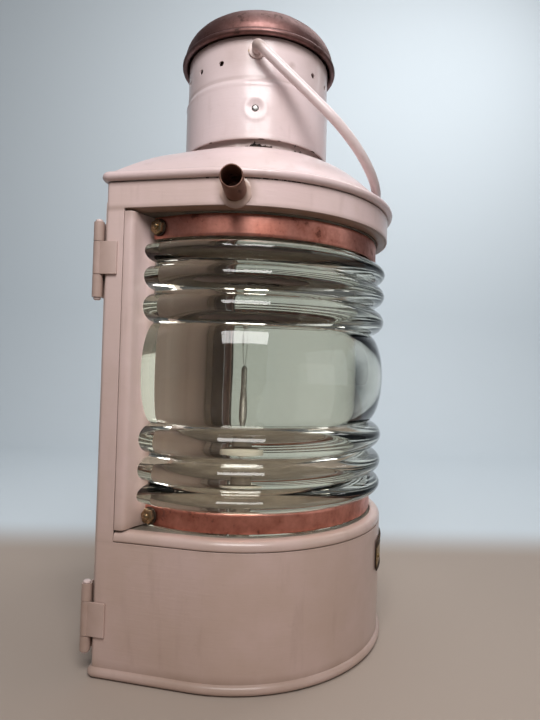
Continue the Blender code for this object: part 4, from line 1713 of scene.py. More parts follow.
@dataclass
class Lens:
    """The pressed drum lens: a tall belt with three rings above and below it."""

    size: Measures
    crest_r: float = 0.1050
    groove_r: float = 0.0938
    flange_r: float = 0.0955
    inner_r: float = 0.0855
    rings: tuple[tuple[float, float], ...] = ((0.0411, 0.0092), (0.0602, 0.0080), (0.0762, 0.0062))
    belt_half: float = 0.0318
    middle_share: float = 0.4949
    steps: int = 168

    def section(self, low: float, high: float, middle: float) -> list[tuple[float, float]]:
        """The lens's section.

        Args:
            low: Its lower edge.
            high: Its upper edge.
            middle: The height of the belt's middle.

        Returns:
            Pairs of radius and height.
        """
        depth = self.crest_r - self.groove_r
        rings = [(-z, half) for z, half in reversed(self.rings)]
        rings += [(0.0, self.belt_half)] + list(self.rings)
        neck = self.rings[-1][0] + self.rings[-1][1]
        outer = [(self.flange_r - 0.0006, low), (self.flange_r, low + 0.0006)]
        outer += [(self.flange_r, middle - neck - 0.0012)]
        for z, half in rings:
            steps = 40 if z == 0.0 else 14
            for a in arc(-pi / 2, pi / 2, steps)[:-1]:
                outer.append((self.groove_r + depth * cos(a), middle + z + half * sin(a)))
        outer += [(self.groove_r, middle + neck), (self.flange_r, middle + neck + 0.0012)]
        outer += [(self.flange_r, high - 0.0006), (self.flange_r - 0.0006, high)]
        inner = [(self.inner_r, z) for z in arc(high, low, 24)]
        return outer + inner

    def build(self, shop: Workshop) -> None:
        """Make and dress the lens and its putty.

        Args:
            shop: The workshop.
        """
        low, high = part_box("lens")
        middle = low.z + (high.z - low.z) * self.middle_share
        loops = []
        for a in arc(-self.size.lens_half, self.size.lens_half, self.steps):
            loops.append([at_bearing(a, r, z) for r, z in self.section(low.z, high.z, middle)])
        made = Build("drum_lens").loft(loops, Join.CAPPED)

        def wave(p: Vector) -> Vector:
            """The slow waves of pressed glass."""
            out = Vector((p.x, p.y, 0.0)).normalized()
            return out * 0.00010 * dent(p, 0.030, 31.0)

        item = made.move(wave).make(34.0)
        shop.fit(item, Finish.LENS, "body", "lens").visible_shadow = False
        shop.keep(Finish.PUTTY, "lens_seal_starboard", "lens_seal_port")


@dataclass
class Bands:
    """The two copper bands over the lens's flanges, and the nut at each end of them."""

    size: Measures
    washer_r: float = 0.0055
    nut_r: float = 0.0050
    stud_r: float = 0.0021

    def band(self, level: str) -> bpy.types.Object:
        """One band of thin sheet with softened edges.

        Args:
            level: upper or lower.

        Returns:
            The band.
        """
        low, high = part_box(f"{level}_band")
        outer = -low.y
        inner = outer - 0.0013
        end = self.size.lens_half - radians(0.3)
        rows = arc(low.z, high.z, 14)
        loops = []
        for a in arc(-end, end, 200):
            out = []
            for z in rows:
                edge = min(z - low.z, high.z - z)
                round_off = 0.00035 * fade(0.0009, edge)
                out.append(at_bearing(a, outer - round_off, z))
            back = [at_bearing(a, inner, z) for z in (high.z, low.z)]
            loops.append(out + back)
        made = Build(f"{level}_copper_band").loft(loops, Join.CAPPED)

        def ripple(p: Vector) -> Vector:
            """Slow ripples in the outer face."""
            if hypot(p.x, p.y) < outer - 0.0008:
                return Vector()
            return Vector((p.x, p.y, 0.0)).normalized() * (0.00014 * dent(p, 0.016, 41.0) - 0.0001)

        return made.move(ripple).make(50.0)

    def nut(self, level: str, side: str) -> bpy.types.Object:
        """A washer, a chamfered hexagon nut and the domed end of its stud.

        Args:
            level: upper or lower.
            side: starboard or port.

        Returns:
            The three as one piece.
        """
        middle = middle_of(f"{level}_band_screw_{side}")
        bearing = bearing_of(middle)
        face = -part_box(f"{level}_band")[0].y + 0.0003
        out = at_bearing(bearing, 1.0, 0.0)
        base = at_bearing(bearing, face, middle.z)
        washer = [(self.washer_r - 0.0003, 0.0), (self.washer_r, 0.0003), (self.washer_r - 0.0001, 0.0009),
                  (self.washer_r - 0.0008, 0.0011)]
        item = turned_on(f"{level}_band_nut_{side}", base, out, washer, sides=40).make()
        hexagon = [(self.nut_r - 0.0005, 0.0008), (self.nut_r, 0.0012), (self.nut_r, 0.0031),
                   (self.nut_r - 0.0006, 0.0036), (self.nut_r - 0.0016, 0.0038)]
        turn = 0.4 if level == "upper" else 0.9
        nut = turned_on("nut", base, out, hexagon, sides=6, start=turn).make(20.0)
        stud = [(self.stud_r, -0.0018), (self.stud_r, 0.0044)]
        stud += [(self.stud_r * cos(a), 0.0044 + 0.0009 * sin(a)) for a in arc(0.2, 1.35, 5)]
        post = turned_on("stud", base, out, stud, sides=24).make()
        cut(item, [nut, post], "UNION")
        soften(item, 0.00022, 40.0)
        paint_mask(item, "grime_and_shade", lambda p: fade(0.0022, (p - base).dot(out)))
        return item

    def build(self, shop: Workshop) -> None:
        """Make and dress the bands and nuts.

        Args:
            shop: The workshop.
        """
        for level in ("upper", "lower"):
            shop.fit(self.band(level), Finish.BAND, "body", f"{level}_band")
            for side in ("starboard", "port"):
                shop.fit(self.nut(level, side), Finish.BRONZE, "body", f"{level}_band_screw_{side}")


@dataclass
class SideTube:
    """The plain tube through the skirt, roughly sawn off and soldered in."""

    wall: float = 0.0009
    length: float = 0.0365
    steps: int = 64

    def build(self, shop: Workshop, half_width: float) -> None:
        """Make and dress the tube and its solder.

        Args:
            shop: The workshop.
            half_width: Radius of the skirt that it comes through.
        """
        low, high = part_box("side_tube")
        middle = (low + high) / 2
        bearing = bearing_of(middle)
        radius = (high.z - low.z) / 2
        out = at_bearing(bearing, 1.0, 0.0)
        end = (-low.x - radius * cos(bearing)) / sin(bearing)
        base = at_bearing(bearing, end, middle.z)
        inner = radius - self.wall
        span = [-self.length * i / 24 for i in range(24, -1, -1)]
        profile = [(radius, z) for z in span[:-1]] + [(radius - 0.0001, -0.0004), (radius - 0.0003, -0.0001)]
        profile += [(inner + 0.0002, -0.0001), (inner, -0.0004)] + [(inner, z) for z in reversed(span[:-1])]
        made = turned_on("entry_tube", base, out, profile, Join.RING, self.steps)

        def rough(p: Vector) -> Vector:
            """A saw-cut mouth that isn't quite square, and slight dents along the tube."""
            along = (p - base).dot(out)
            mouth = smooth(-0.0030, 0.0, along)
            saw = 0.00055 * noise.noise(p / 0.0032) - 0.0006
            side = p - base - out * along
            return out * (saw * mouth) + side * (0.03 * dent(p, 0.011, 51.0) * smooth(-0.0005, -0.006, along))

        item = made.move(rough).make(50.0)
        shop.fit(item, Finish.TUBE, "body", "side_tube")
        root = half_width - end
        fillet = [(radius - 0.0006, root - 0.0012), (radius + 0.0030, root - 0.0012),
                  (radius + 0.0029, root + 0.0001)]
        fillet += [(radius + 0.0028 - 0.0028 * sin(a), root + 0.0034 - 0.0032 * cos(a))
                   for a in arc(0.15, 1.45, 8)]
        fillet += [(radius - 0.0006, root + 0.0036)]
        solder = turned_on("tube_solder", base, out, fillet, Join.RING, 72)

        def lumpy(p: Vector) -> Vector:
            """Uneven solder that has run lowest underneath."""
            along = (p - base).dot(out)
            side = p - base - out * along
            if side.length < radius:
                return Vector()
            sag = 0.0006 * max(0.0, -side.normalized().z)
            return side.normalized() * (0.0007 * noise.noise(p / 0.0050) + sag - 0.0003)

        bead_of_solder = solder.move(lumpy).make(60.0)
        paint_mask(bead_of_solder, "grime_and_shade",
                   lambda p: smooth(0.0, 0.0035, (p - base).dot(out) - root) * 0.8 + 0.2)
        paint_mask(bead_of_solder, "chip", lambda p: smooth(0.0006, 0.0034, (p - base).dot(out) - root) * 0.8)
        shop.fit(bead_of_solder, Finish.PAINT, "body",
                 stuff=OldPaint("solder_paint", fresh=(0.56, 0.41, 0.37), faded=(0.42, 0.295, 0.245),
                                low=0.0, high=0.5, use=Worn.BATTERED))


@dataclass
class Nameplate:
    """A blank brass plate with a raised border, on two rivets."""

    sheet: float = 0.0009
    border: float = 0.0016
    rise: float = 0.0003
    steps: int = 64

    def build(self, shop: Workshop) -> None:
        """Make and dress the plate and its rivets.

        Args:
            shop: The workshop.
        """
        low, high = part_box("nameplate")
        outer = -low.y
        half = bearing_of(Vector((low.x, -sqrt(outer ** 2 - low.x ** 2), 0.0)))
        corner = 0.0025
        rows = densify([(0.0, low.z), (0.0, high.z)], 0.0007)
        loops = []
        for a in arc(-half, half, self.steps):
            near_end = (half - abs(a)) * outer
            pull = corner - sqrt(max(corner ** 2 - max(corner - near_end, 0.0) ** 2, 0.0))
            front = []
            for _, z in rows:
                z = min(max(z, low.z + pull), high.z - pull)
                edge = min(z - low.z, high.z - z, near_end)
                field_depth = self.rise * (smooth(self.border - 0.0004, self.border + 0.0003, edge))
                round_off = 0.0002 * fade(0.0006, edge)
                front.append(at_bearing(a, outer - field_depth - round_off, z))
            back = [at_bearing(a, outer - self.sheet, z) for z in (high.z - pull, low.z + pull)]
            loops.append(front + back)
        plate = Build("blank_plate").loft(loops, Join.CAPPED).make(50.0)
        paint_mask(plate, "grime_and_shade", lambda p: fade(0.004, abs(min(p.z - low.z, high.z - p.z) - 0.0020)))
        shop.fit(plate, Finish.BRASS, "body", "nameplate",
                 stuff=Alloy("plate_brass", (0.40, 0.27, 0.13), (0.055, 0.032, 0.018), 0.34, 0.95, 0.003))
        for side in ("starboard", "port"):
            node = f"nameplate_rivet_{side}"
            middle = middle_of(node)
            bearing = bearing_of(middle)
            radius = half_of(node, 2)
            base = at_bearing(bearing, outer - 0.0001, middle.z)
            out = at_bearing(bearing, 1.0, 0.0)
            dome = [(radius * 0.9, -0.0001)]
            dome += [(radius * cos(a), 0.0012 * sin(a)) for a in arc(0.0, radians(84), 8)]
            rivet = turned_on(f"plate_rivet_{side}", base, out, dome, sides=28).make()
            paint_mask(rivet, "grime_and_shade", lambda p: 0.3)
            shop.fit(rivet, Finish.BRASS, "body", node)


@dataclass
class Lamp:
    """The electric lamp: pedestal, porcelain holder, bulb and filament."""

    steps: int = 64

    def profile(self, name: str) -> tuple[float, float, float]:
        """Radius, lower and upper height of a turned CAD node."""
        low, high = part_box(name)
        return (high.x - low.x) / 2, low.z, high.z

    def build(self, shop: Workshop) -> None:
        """Make and dress the lamp's pieces.

        Args:
            shop: The workshop.
        """
        foot_r, low, high = self.profile("lamp_pedestal")
        column = [(foot_r, low), (foot_r, low + 0.0012), (foot_r - 0.0008, low + 0.0019)]
        column += [(0.0125 + 0.0045 * cos(a), low + 0.0060 - 0.0041 * sin(a)) for a in arc(1.4, pi, 8)]
        column += [(0.0080, z) for z in arc(low + 0.0080, high - 0.0060, 10)]
        column += [(0.0080 + 0.0060 * sin(a), high - 0.0060 * cos(a)) for a in arc(0.2, pi / 2, 5)]
        pedestal = turned("lamp_column", column, Join.CAPPED, steps=self.steps).make()
        shop.fit(pedestal, Finish.INNER, "body", "lamp_pedestal")
        socket_r, low, high = self.profile("lamp_socket")
        china = [(0.0080, low), (socket_r - 0.0012, low), (socket_r, low + 0.0014)]
        for i in range(3):
            z = low + 0.0075 + 0.0050 * i
            china += [(socket_r, z - 0.0012), (socket_r - 0.0007, z - 0.0004),
                      (socket_r - 0.0007, z + 0.0004), (socket_r, z + 0.0012)]
        china += [(socket_r - 0.0018 * (1 - cos(a)), high - 0.0018 * (1 - sin(a)))
                  for a in arc(0.0, pi / 2, 5)]
        well = 0.0132
        china += [(well + 0.0005, high), (well, high - 0.0005), (well, low + 0.0057), (0.0080, low + 0.0057)]
        socket = turned("china_holder", china, Join.RING, steps=self.steps).make()
        shop.fit(socket, Finish.CHINA, "body", "lamp_socket")
        cap_r, low, high = self.profile("bulb_cap")
        brass = [(0.0100, low), (cap_r, low + 0.0010)]
        brass += [(cap_r - 0.0004 + 0.0004 * cos(i * 0.8), low + 0.0012 + i * 0.0004) for i in range(48)]
        brass += [(cap_r, high - 0.0012), (0.0100, high)]
        bulb_cap = turned("bulb_base", brass, Join.CAPPED, steps=self.steps).make()
        paint_mask(bulb_cap, "grime_and_shade", lambda p: 0.3)
        shop.fit(bulb_cap, Finish.BRASS, "body", "bulb_cap")
        bulb_r, low, high = self.profile("bulb_glass")
        crown_z = high - bulb_r
        neck_r = 0.0104
        outer = [(0.0100, low), (neck_r, low + 0.0025)]
        outer += [(neck_r + (bulb_r - neck_r) * (1 - cos(a)) / 2, low + 0.0025 + 0.0150 * a / pi)
                  for a in arc(0.3, pi, 10)]
        outer += [(bulb_r * cos(a), crown_z + bulb_r * sin(a)) for a in arc(0.0, pi / 2 - 0.02, 18)]
        bulb = turned("bulb_envelope", outer, Join.OPEN, steps=self.steps)
        top = len(bulb.verts)
        bulb.verts.append(Vector((0.0, 0.0, high)))
        last = top - self.steps
        bulb.faces += [(last + i, last + (i + 1) % self.steps, top) for i in range(self.steps)]
        envelope = bulb.make(70.0)
        thicken(envelope, 0.0008)
        shop.fit(envelope, Finish.BULB, "body", "bulb_glass").visible_shadow = False
        stem_r, low, high = self.profile("filament_stem")
        stem = [(stem_r, low), (stem_r * 0.55, low + 0.0040), (0.0022, low + 0.0120), (0.0022, high - 0.0010)]
        stem += [(0.0010, high)]
        post = turned("lamp_stem", stem, Join.CAPPED, steps=24).make()
        paint_mask(post, "grime_and_shade", lambda p: 0.2)
        shop.fit(post, Finish.STEEL, "body", "filament_stem")
        self.filament(shop, high)

    def filament(self, shop: Workshop, z: float) -> None:
        """The two lead wires and the coil between them.

        Args:
            shop: The workshop.
            z: Height of the stem's top.
        """
        wires = []
        for sign in (-1, 1):
            foot = Vector((sign * 0.0008, 0.0, z - 0.0006))
            tip = Vector((sign * 0.0070, 0.0, z + 0.0080))
            wires.append([foot, foot.lerp(tip, 0.5) + Vector((sign * 0.0006, 0.0, 0.0)), tip])
        coil = []
        for t in arc(0.0, 1.0, 260):
            turn = 26 * 2 * pi * t
            x = -0.0070 + 0.0140 * t
            height = z + 0.0080 + 0.0018 * sin(pi * t) + 0.0006 * sin(turn)
            coil.append(Vector((x, 0.0006 * cos(turn), height)))
        item = rod("filament_wires", wires[0], 0.00022, 8)
        cut(item, [rod("wire", wires[1], 0.00022, 8), rod("coil", coil, 0.00012, 6)], "UNION")
        paint_mask(item, "grime_and_shade", lambda p: 0.1)
        shop.fit(item, Finish.STEEL, "body")


def rod(name: str, path: Sequence[Vector], radius: float, sides: int) -> bpy.types.Object:
    """A round rod along a path.

    Args:
        name: The rod's name.
        path: The points of its middle line.
        radius: Its radius.
        sides: Facets round it.

    Returns:
        The rod.
    """
    return rod_build(name, path, lambda i: radius, sides).make(60.0)


def rod_build(name: str, path: Sequence[Vector], radius: Callable[[int], float], sides: int,
              square: Vector | None = None) -> Build:
    """A round rod whose radius may change along its path.

    Args:
        name: The rod's name.
        path: The points of its middle line.
        radius: Its radius at each point's number.
        sides: Facets round it.
        square: A direction that stays square to the path, if it has one.

    Returns:
        The build.
    """
    loops = []
    frame = square or (path[1] - path[0]).orthogonal().normalized()
    for i, point in enumerate(path):
        run = (path[min(i + 1, len(path) - 1)] - path[max(i - 1, 0)]).normalized()
        frame = (frame - run * frame.dot(run)).normalized()
        flat = run.cross(frame)
        r = radius(i)
        loops.append([point + (flat * cos(a) + frame * sin(a)) * r for a in arc(0.0, 2 * pi, sides)[:-1]])
    return Build(name).loft(loops, Join.CAPPED)


@dataclass
class RearDoor:
    """The door behind, with a pressed panel, two butt hinges and a turn button."""

    size: Measures
    sheet: float = 0.0013
    corner: float = 0.0045
    margin: float = 0.0170
    groove: float = 0.0010
    knuckle_r: float = 0.0032
    pin_r: float = 0.0016

    def plate(self) -> bpy.types.Object:
        """The door's sheet with its pressed panel and its flange.

        Returns:
            The door.
        """
        low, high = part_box("rear_door")
        face = high.y
        near = face - self.sheet
        rows = [z for _, z in densify([(0.0, low.z), (0.0, high.z)], 0.0036)]
        columns = [x for _, x in densify([(0.0, low.x), (0.0, high.x)], 0.0036)]

        def relief(x: float, z: float) -> float:
            """How far the sheet stands in from its outer face."""
            edge = min(x - low.x, high.x - x, z - low.z, high.z - z)
            groove = self.groove * exp(-((edge - self.margin) / 0.0028) ** 2)
            return groove + 0.0004 * fade(0.0012, edge)

        def pull(x: float, z: float) -> tuple[float, float]:
            """Draw the square corners in to their radius."""
            fx = max(self.corner - (x - low.x), self.corner - (high.x - x), 0.0)
            fz = max(self.corner - (z - low.z), self.corner - (high.z - z), 0.0)
            away = hypot(fx, fz)
            if away <= self.corner:
                return x, z
            share = self.corner / away
            sign_x = 1.0 if x > 0 else -1.0
            sign_z = 1.0 if z > (low.z + high.z) / 2 else -1.0
            return x - sign_x * fx * (1 - share), z - sign_z * fz * (1 - share)

        outer = []
        for z in rows:
            line = []
            for x in columns:
                px, pz = pull(x, z)
                wobble = 0.00014 * dent(Vector((px, 0.0, pz)), 0.045, 61.0)
                line.append(Vector((px, face - relief(x, z) + wobble - 0.0001, pz)))
            outer.append(line)
        item = Build("door_sheet").loft(outer, Join.OPEN, closed=False).make(50.0)
        if sum(f.normal.y * f.area for f in item.data.polygons) < 0.0:
            item.data.flip_normals()
        thicken(item, self.sheet)
        flange = self.flange(low, near)
        cut(item, [flange], "UNION")
        pivot = self.latch_pivot()
        hole = turned_on("hole", Vector((pivot.x, near - 0.004, pivot.z)), ASTERN,
                         [(0.0022, 0.0), (0.0022, 0.008)]).make()
        cut(item, [hole])
        soften(item, 0.00025, 50.0)

        def grime_and_shade(p: Vector) -> float:
            """Dirt in the pressed groove and along the edges."""
            edge = min(p.x - low.x, high.x - p.x, p.z - low.z, high.z - p.z)
            groove = fade(0.0040, abs(edge - self.margin))
            latch = 1.0 - smooth(0.004, 0.014, (p - pivot).length)
            return max(0.40 * groove, 0.45 * latch, 0.35 * fade(0.003, edge))

        paint_mask(item, "grime_and_shade", grime_and_shade)
        # The door's inner face takes the darker inside colour: painted shade of the closed interior.
        paint_mask(item, "inner", lambda p: smooth(near + 0.0002, near - 0.0012, p.y))
        paint_mask(item, "chip", lambda p: max(
            0.5 * fade(0.0020, min(p.x - low.x, high.x - p.x, p.z - low.z, high.z - p.z)),
            0.45 * (1.0 - smooth(0.003, 0.008, (p - pivot).length))))
        return item

    def flange(self, low: Vector, near: float) -> bpy.types.Object:
        """The flange that stands inside the opening.

        Args:
            low: The door's lowest corner.
            near: The inner face of its sheet.

        Returns:
            The flange.
        """
        x_half = 0.0885
        z_low = low.z + 0.0055
        z_high = self.size.skirt - 0.0045
        loops = []
        for x, z, y in ((0.0, 0.0, near + 0.0006), (0.0, 0.0, near - 0.0065), (0.0011, 0.0011, near - 0.0065),
                        (0.0011, 0.0011, near + 0.0006)):
            loops.append(rounded(-x_half + x, x_half - x, z_low + z, z_high - z, y, 0.003))
        return Build("flange").loft(loops, Join.RING).make()

    def latch_pivot(self) -> Vector:
        """The middle of the turn button's screw, at its outer end."""
        low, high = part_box("latch_screw")
        return Vector(((low.x + high.x) / 2, high.y, (low.z + high.z) / 2))

    def hinge(self, shop: Workshop, level: str) -> None:
        """The two leaves of one hinge, their screws and the pin.

        Args:
            shop: The workshop.
            level: upper or lower.
        """
        pin_low, pin_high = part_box(f"{level}_hinge_pin")
        axis = (pin_low + pin_high) / 2
        body_low, body_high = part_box(f"{level}_hinge_body_leaf")
        door_low, door_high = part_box(f"{level}_hinge_door_leaf")
        wall = body_high.x if body_high.x < -self.size.half_width else -self.size.half_width - 0.0003
        outer = wall - 0.0012
        body_path = [Vector((outer, body_low.y, 0.0)), Vector((wall, body_low.y, 0.0))]
        leaf = self.leaf(f"{level}_leaf_on_body", axis, body_path[0], body_path[1], 221.4, -112.0,
                         (body_low.z, body_high.z))
        self.finish_leaf(leaf, axis)
        paint = OldPaint("hinge_paint", low=0.0, high=0.42, use=Worn.BATTERED)
        shop.fit(leaf, Finish.PAINT, "body", f"{level}_hinge_body_leaf", stuff=paint)
        face = door_high.y if door_high.y < axis.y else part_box("rear_door")[1].y + 0.0003 + 0.0012
        near = axis.x + self.knuckle_r + 0.0004
        middle = Vector(((near + door_high.x) / 2, face - 0.0006, axis.z))
        door_leaf = slab("leaf", middle, Vector(((door_high.x - near) / 2, 0.0, 0.0)),
                         Vector((0.0, 0.0006, 0.0)), Vector((0.0, 0.0, (door_high.z - door_low.z) / 2)))
        door_leaf.name = f"{level}_leaf_on_door"
        start = axis.x + self.knuckle_r + 0.0024
        rolls = []
        for span in ((door_low.z, body_low.z - 0.0003), (body_high.z + 0.0003, door_high.z)):
            rolls.append(self.leaf("roll", axis, Vector((start, face, 0.0)),
                                   Vector((start, face - 0.0012, 0.0)), -9.0, 327.9, span))
        cut(door_leaf, rolls, "UNION")
        cut(door_leaf, [self.bore(axis, door_low.z, door_high.z)])
        heads = []
        for share in (0.22, 0.78):
            height = door_low.z + (door_high.z - door_low.z) * share
            spot = Vector(((door_high.x + start) / 2 + 0.001, face - 0.0001, height))
            dome = [(0.0022, -0.0004)] + [(0.0022 * cos(a), 0.0008 * sin(a)) for a in arc(0.0, 1.4, 6)]
            heads.append(turned_on("head", spot, ASTERN, dome, sides=24).make())
        cut(door_leaf, heads, "UNION")
        self.finish_leaf(door_leaf, axis)
        shop.fit(door_leaf, Finish.PAINT, "door", f"{level}_hinge_door_leaf", stuff=paint)
        head_r = (pin_high.x - pin_low.x) / 2
        head = [(head_r - 0.0008, 0.0), (head_r - 0.0001, 0.0005), (head_r, 0.0010),
                (head_r, 0.0015), (self.pin_r, 0.0015)]
        pin = [(r, pin_low.z + z) for r, z in head] + [(r, pin_high.z - z) for r, z in reversed(head)]
        pin_item = turned(f"{level}_pin", pin, Join.CAPPED, (axis.x, axis.y), 32).make()
        shop.fit(pin_item, Finish.PIN, "body", f"{level}_hinge_pin")

    def leaf(self, name: str, axis: Vector, first: Vector, last: Vector, start: float, end: float,
             span: tuple[float, float]) -> bpy.types.Object:
        """A leaf rolled round the pin's axis, seen in plan and raised.

        Args:
            name: The piece's name.
            axis: A point on the pin's axis.
            first: The leaf's corner before the roll.
            last: The leaf's corner after the roll.
            start: Angle where the roll starts, in degrees.
            end: Angle where it ends.
            span: Lower and upper height.

        Returns:
            The leaf.
        """
        roll = [Vector((axis.x + self.knuckle_r * cos(a), axis.y + self.knuckle_r * sin(a), 0.0))
                for a in arc(radians(start), radians(end), 44)]
        outline = [first] + roll + [last]
        loops = [[Vector((p.x, p.y, z)) for p in outline] for z in span]
        item = Build(name).loft(loops, Join.CAPPED).make(30.0)
        cut(item, [self.bore(axis, *span)])
        return item

    def bore(self, axis: Vector, low: float, high: float) -> bpy.types.Object:
        """A cutter for the pin's bore through a leaf.

        Args:
            axis: A point on the pin's axis.
            low: The leaf's lower end.
            high: The leaf's upper end.

        Returns:
            The cutter.
        """
        radius = self.pin_r + RUNNING_FIT
        profile = [(radius, low - 0.002), (radius, high + 0.002)]
        return turned("bore", profile, Join.CAPPED, (axis.x, axis.y), 40).make()

    def finish_leaf(self, item: bpy.types.Object, axis: Vector) -> None:
        """Round a leaf's edges and store its masks.

        Args:
            item: The leaf.
            axis: A point on the pin's axis.
        """
        def from_axis(p: Vector) -> float:
            """A point's distance from the pin's axis."""
            return hypot(p.x - axis.x, p.y - axis.y)

        soften(item, 0.00025, 40.0)
        paint_mask(item, "grime_and_shade", lambda p: 0.5 * (1.0 - smooth(0.003, 0.008, from_axis(p))) + 0.15)
        paint_mask(item, "chip", lambda p: 0.52 * (1.0 - smooth(0.002, 0.0042, from_axis(p))))

    def latch(self, shop: Workshop) -> None:
        """The turn button, its screw and the hook on the port wall.

        Args:
            shop: The workshop.
        """
        low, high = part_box("latch_button")
        pivot = self.latch_pivot()
        half = high.z - pivot.z
        tip = half - 0.0010
        arm = pivot.z - low.z
        loops = []
        for y, inset in ((low.y, 0.0003), (low.y + 0.0003, 0.0), (high.y - 0.0006, 0.0), (high.y, 0.0006)):
            outline = [((half - inset) * cos(a), (half - inset) * sin(a)) for a in arc(0.0, pi, 24)]
            outline += [(-tip + inset, -arm + 0.0030)]
            outline += [(-(tip - inset) * cos(a), -arm + 0.0030 - (0.0030 - inset) * sin(a))
                        for a in arc(0.2, pi - 0.2, 10)]
            outline += [(tip - inset, -arm + 0.0030)]
            loops.append([Vector((pivot.x + x, y, pivot.z + z)) for x, z in outline])
        button = Build("turn_button").loft(loops, Join.CAPPED).make(35.0)
        hole = turned_on("hole", Vector((pivot.x, low.y - 0.001, pivot.z)), ASTERN,
                         [(0.00206, 0.0), (0.00206, 0.006)]).make()
        cut(button, [hole])
        paint_mask(button, "grime_and_shade", lambda p: 1.0 - smooth(0.002, 0.006, (p - pivot).length))
        shop.fit(button, Finish.BRASS, "latch", "latch_button")
        screw_low, screw_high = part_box("latch_screw")
        head_r = (screw_high.z - screw_low.z) / 2
        out = ASTERN
        base = Vector((pivot.x, high.y + 0.0003, pivot.z))
        profile = [(0.0020, screw_low.y - base.y), (0.0020, 0.0), (head_r, 0.0), (head_r, 0.0005)]
        profile += [(head_r * cos(a), 0.0005 + 0.0012 * sin(a)) for a in arc(0.15, 1.4, 7)]
        screw = turned_on("button_screw", base, out, profile, sides=36).make()
        slot = slab("slot", base + out * 0.0016, Vector((0.0046, 0.0, 0.0008)),
                    Vector((-0.00006, 0.0, 0.00035)), out * 0.0006)
        cut(screw, [slot])
        paint_mask(screw, "grime_and_shade", lambda p: 0.3)
        shop.fit(screw, Finish.STEEL, "door", "latch_screw")
        shop.keep(Finish.BRASS, "latch_keeper", edge=0.0003)

    def build(self, shop: Workshop) -> None:
        """Make and dress the door, its hinges and its latch.

        Args:
            shop: The workshop.
        """
        shop.fit(self.plate(), Finish.PAINT, "door", "rear_door",
                 stuff=OldPaint("door_paint", low=-0.05, high=0.40, fresh=(0.70, 0.545, 0.505)))
        for level in ("upper", "lower"):
            self.hinge(shop, level)
        self.latch(shop)


def rounded(x_low: float, x_high: float, z_low: float, z_high: float, y: float, corner: float) -> Loop:
    """A rectangle with round corners in an upright plane.

    Args:
        x_low: Left edge.
        x_high: Right edge.
        z_low: Lower edge.
        z_high: Upper edge.
        y: Where the plane stands.
        corner: Radius of the corners.

    Returns:
        The points.
    """
    points = []
    spots = ((x_high, z_high, 0.0), (x_low, z_high, pi / 2), (x_low, z_low, pi), (x_high, z_low, 1.5 * pi))
    for x, z, start in spots:
        middle_x = x - corner if x == x_high else x + corner
        middle_z = z - corner if z == z_high else z + corner
        for a in arc(start, start + pi / 2, 5):
            points.append(Vector((middle_x + corner * cos(a), y, middle_z + corner * sin(a))))
    return points


@dataclass
class Bail:
    """The carrying bail, lying forward; its bent-in ends turn in the chimney's bushes."""

    size: Measures
    record: dict
    rod_r: float = 0.0034
    inside: float = 0.0500
    bend: float = 0.0045
    sides: int = 28

    def joint(self) -> tuple[Vector, Vector]:
        """The pivot's place and axis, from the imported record."""
        joint = next(j for j in self.record["behaviour"]["joints"] if j["child"] == "bail")
        return Vector(joint["pos_m"]), Vector(joint["axis"]).normalized()

    def build(self, shop: Workshop) -> None:
        """Make and dress the bail.

        Args:
            shop: The workshop.
        """
        pivot, side = self.joint()
        nodes = shop.nodes["bail_handle"].data.vertices
        across = [(v.co - pivot).dot(side) for v in nodes]
        lowest = min((v.co for v in nodes), key=lambda p: p.z)
        reach = max((v.co - pivot - side * (v.co - pivot).dot(side)).length for v in nodes)
        radius = self.rod_r
        half = max(across) - radius
        reach -= radius
        slope = lowest - pivot
        slope = (slope - side * slope.dot(side)).normalized()
        tilt = radius / reach
        square = side.cross(slope)
        slope = (slope * cos(tilt) - square * sin(tilt) * (1 if square.z < 0 else -1)).normalized()
        square = side.cross(slope)
        leg_end = reach - half
        plan = [(u, 0.0) for u in arc(self.inside, half - self.bend, 6)]
        turns = arc(-pi / 2, 0.0, 10)[1:]
        plan += [(half + self.bend * (cos(a) - 1.0), self.bend * (1.0 + sin(a))) for a in turns]
        plan += [(half, v) for v in arc(self.bend, leg_end, 24)[1:]]
        plan += [(half * cos(a), leg_end + half * sin(a)) for a in arc(0.0, pi / 2, 36)[1:]]
        plan += [(-u, v) for u, v in reversed(plan[:-1])]
        path = [pivot + side * u + slope * v for u, v in plan]
        rounding = {0: 0.80, 1: 0.97, len(path) - 1: 0.80, len(path) - 2: 0.97}
        made = rod_build("bail_rod", path, lambda i: radius * rounding.get(i, 1.0), self.sides, square)
        made.move(lambda p: Vector((0.0, 0.0, 0.00016 * dent(p, 0.013, 71.0))))
        item = made.make(60.0)
        ends = [pivot + side * s * half for s in (1, -1)]
        grip = pivot + slope * reach
        paint_mask(item, "grime_and_shade", lambda p: max(
            0.7 * (1.0 - smooth(0.004, 0.012, min((p - e).length for e in ends))),
            0.35 * (1.0 - smooth(0.02, 0.045, (p - grip).length))))
        paint_mask(item, "chip", lambda p: max(
            0.45 * (1.0 - smooth(0.002, 0.006, min((p - e).length for e in ends))),
            0.30 * (1.0 - smooth(0.01, 0.035, (p - grip).length))))
        # The bail's paint is a lighter copy of the body's paint: painted light for the better-lit top.
        shop.fit(item, Finish.PAINT, "bail", "bail_handle",
                 stuff=OldPaint("bail_paint_lit_copy", fresh=(0.765, 0.640, 0.635), faded=(0.70, 0.575, 0.56),
                                high=0.2))


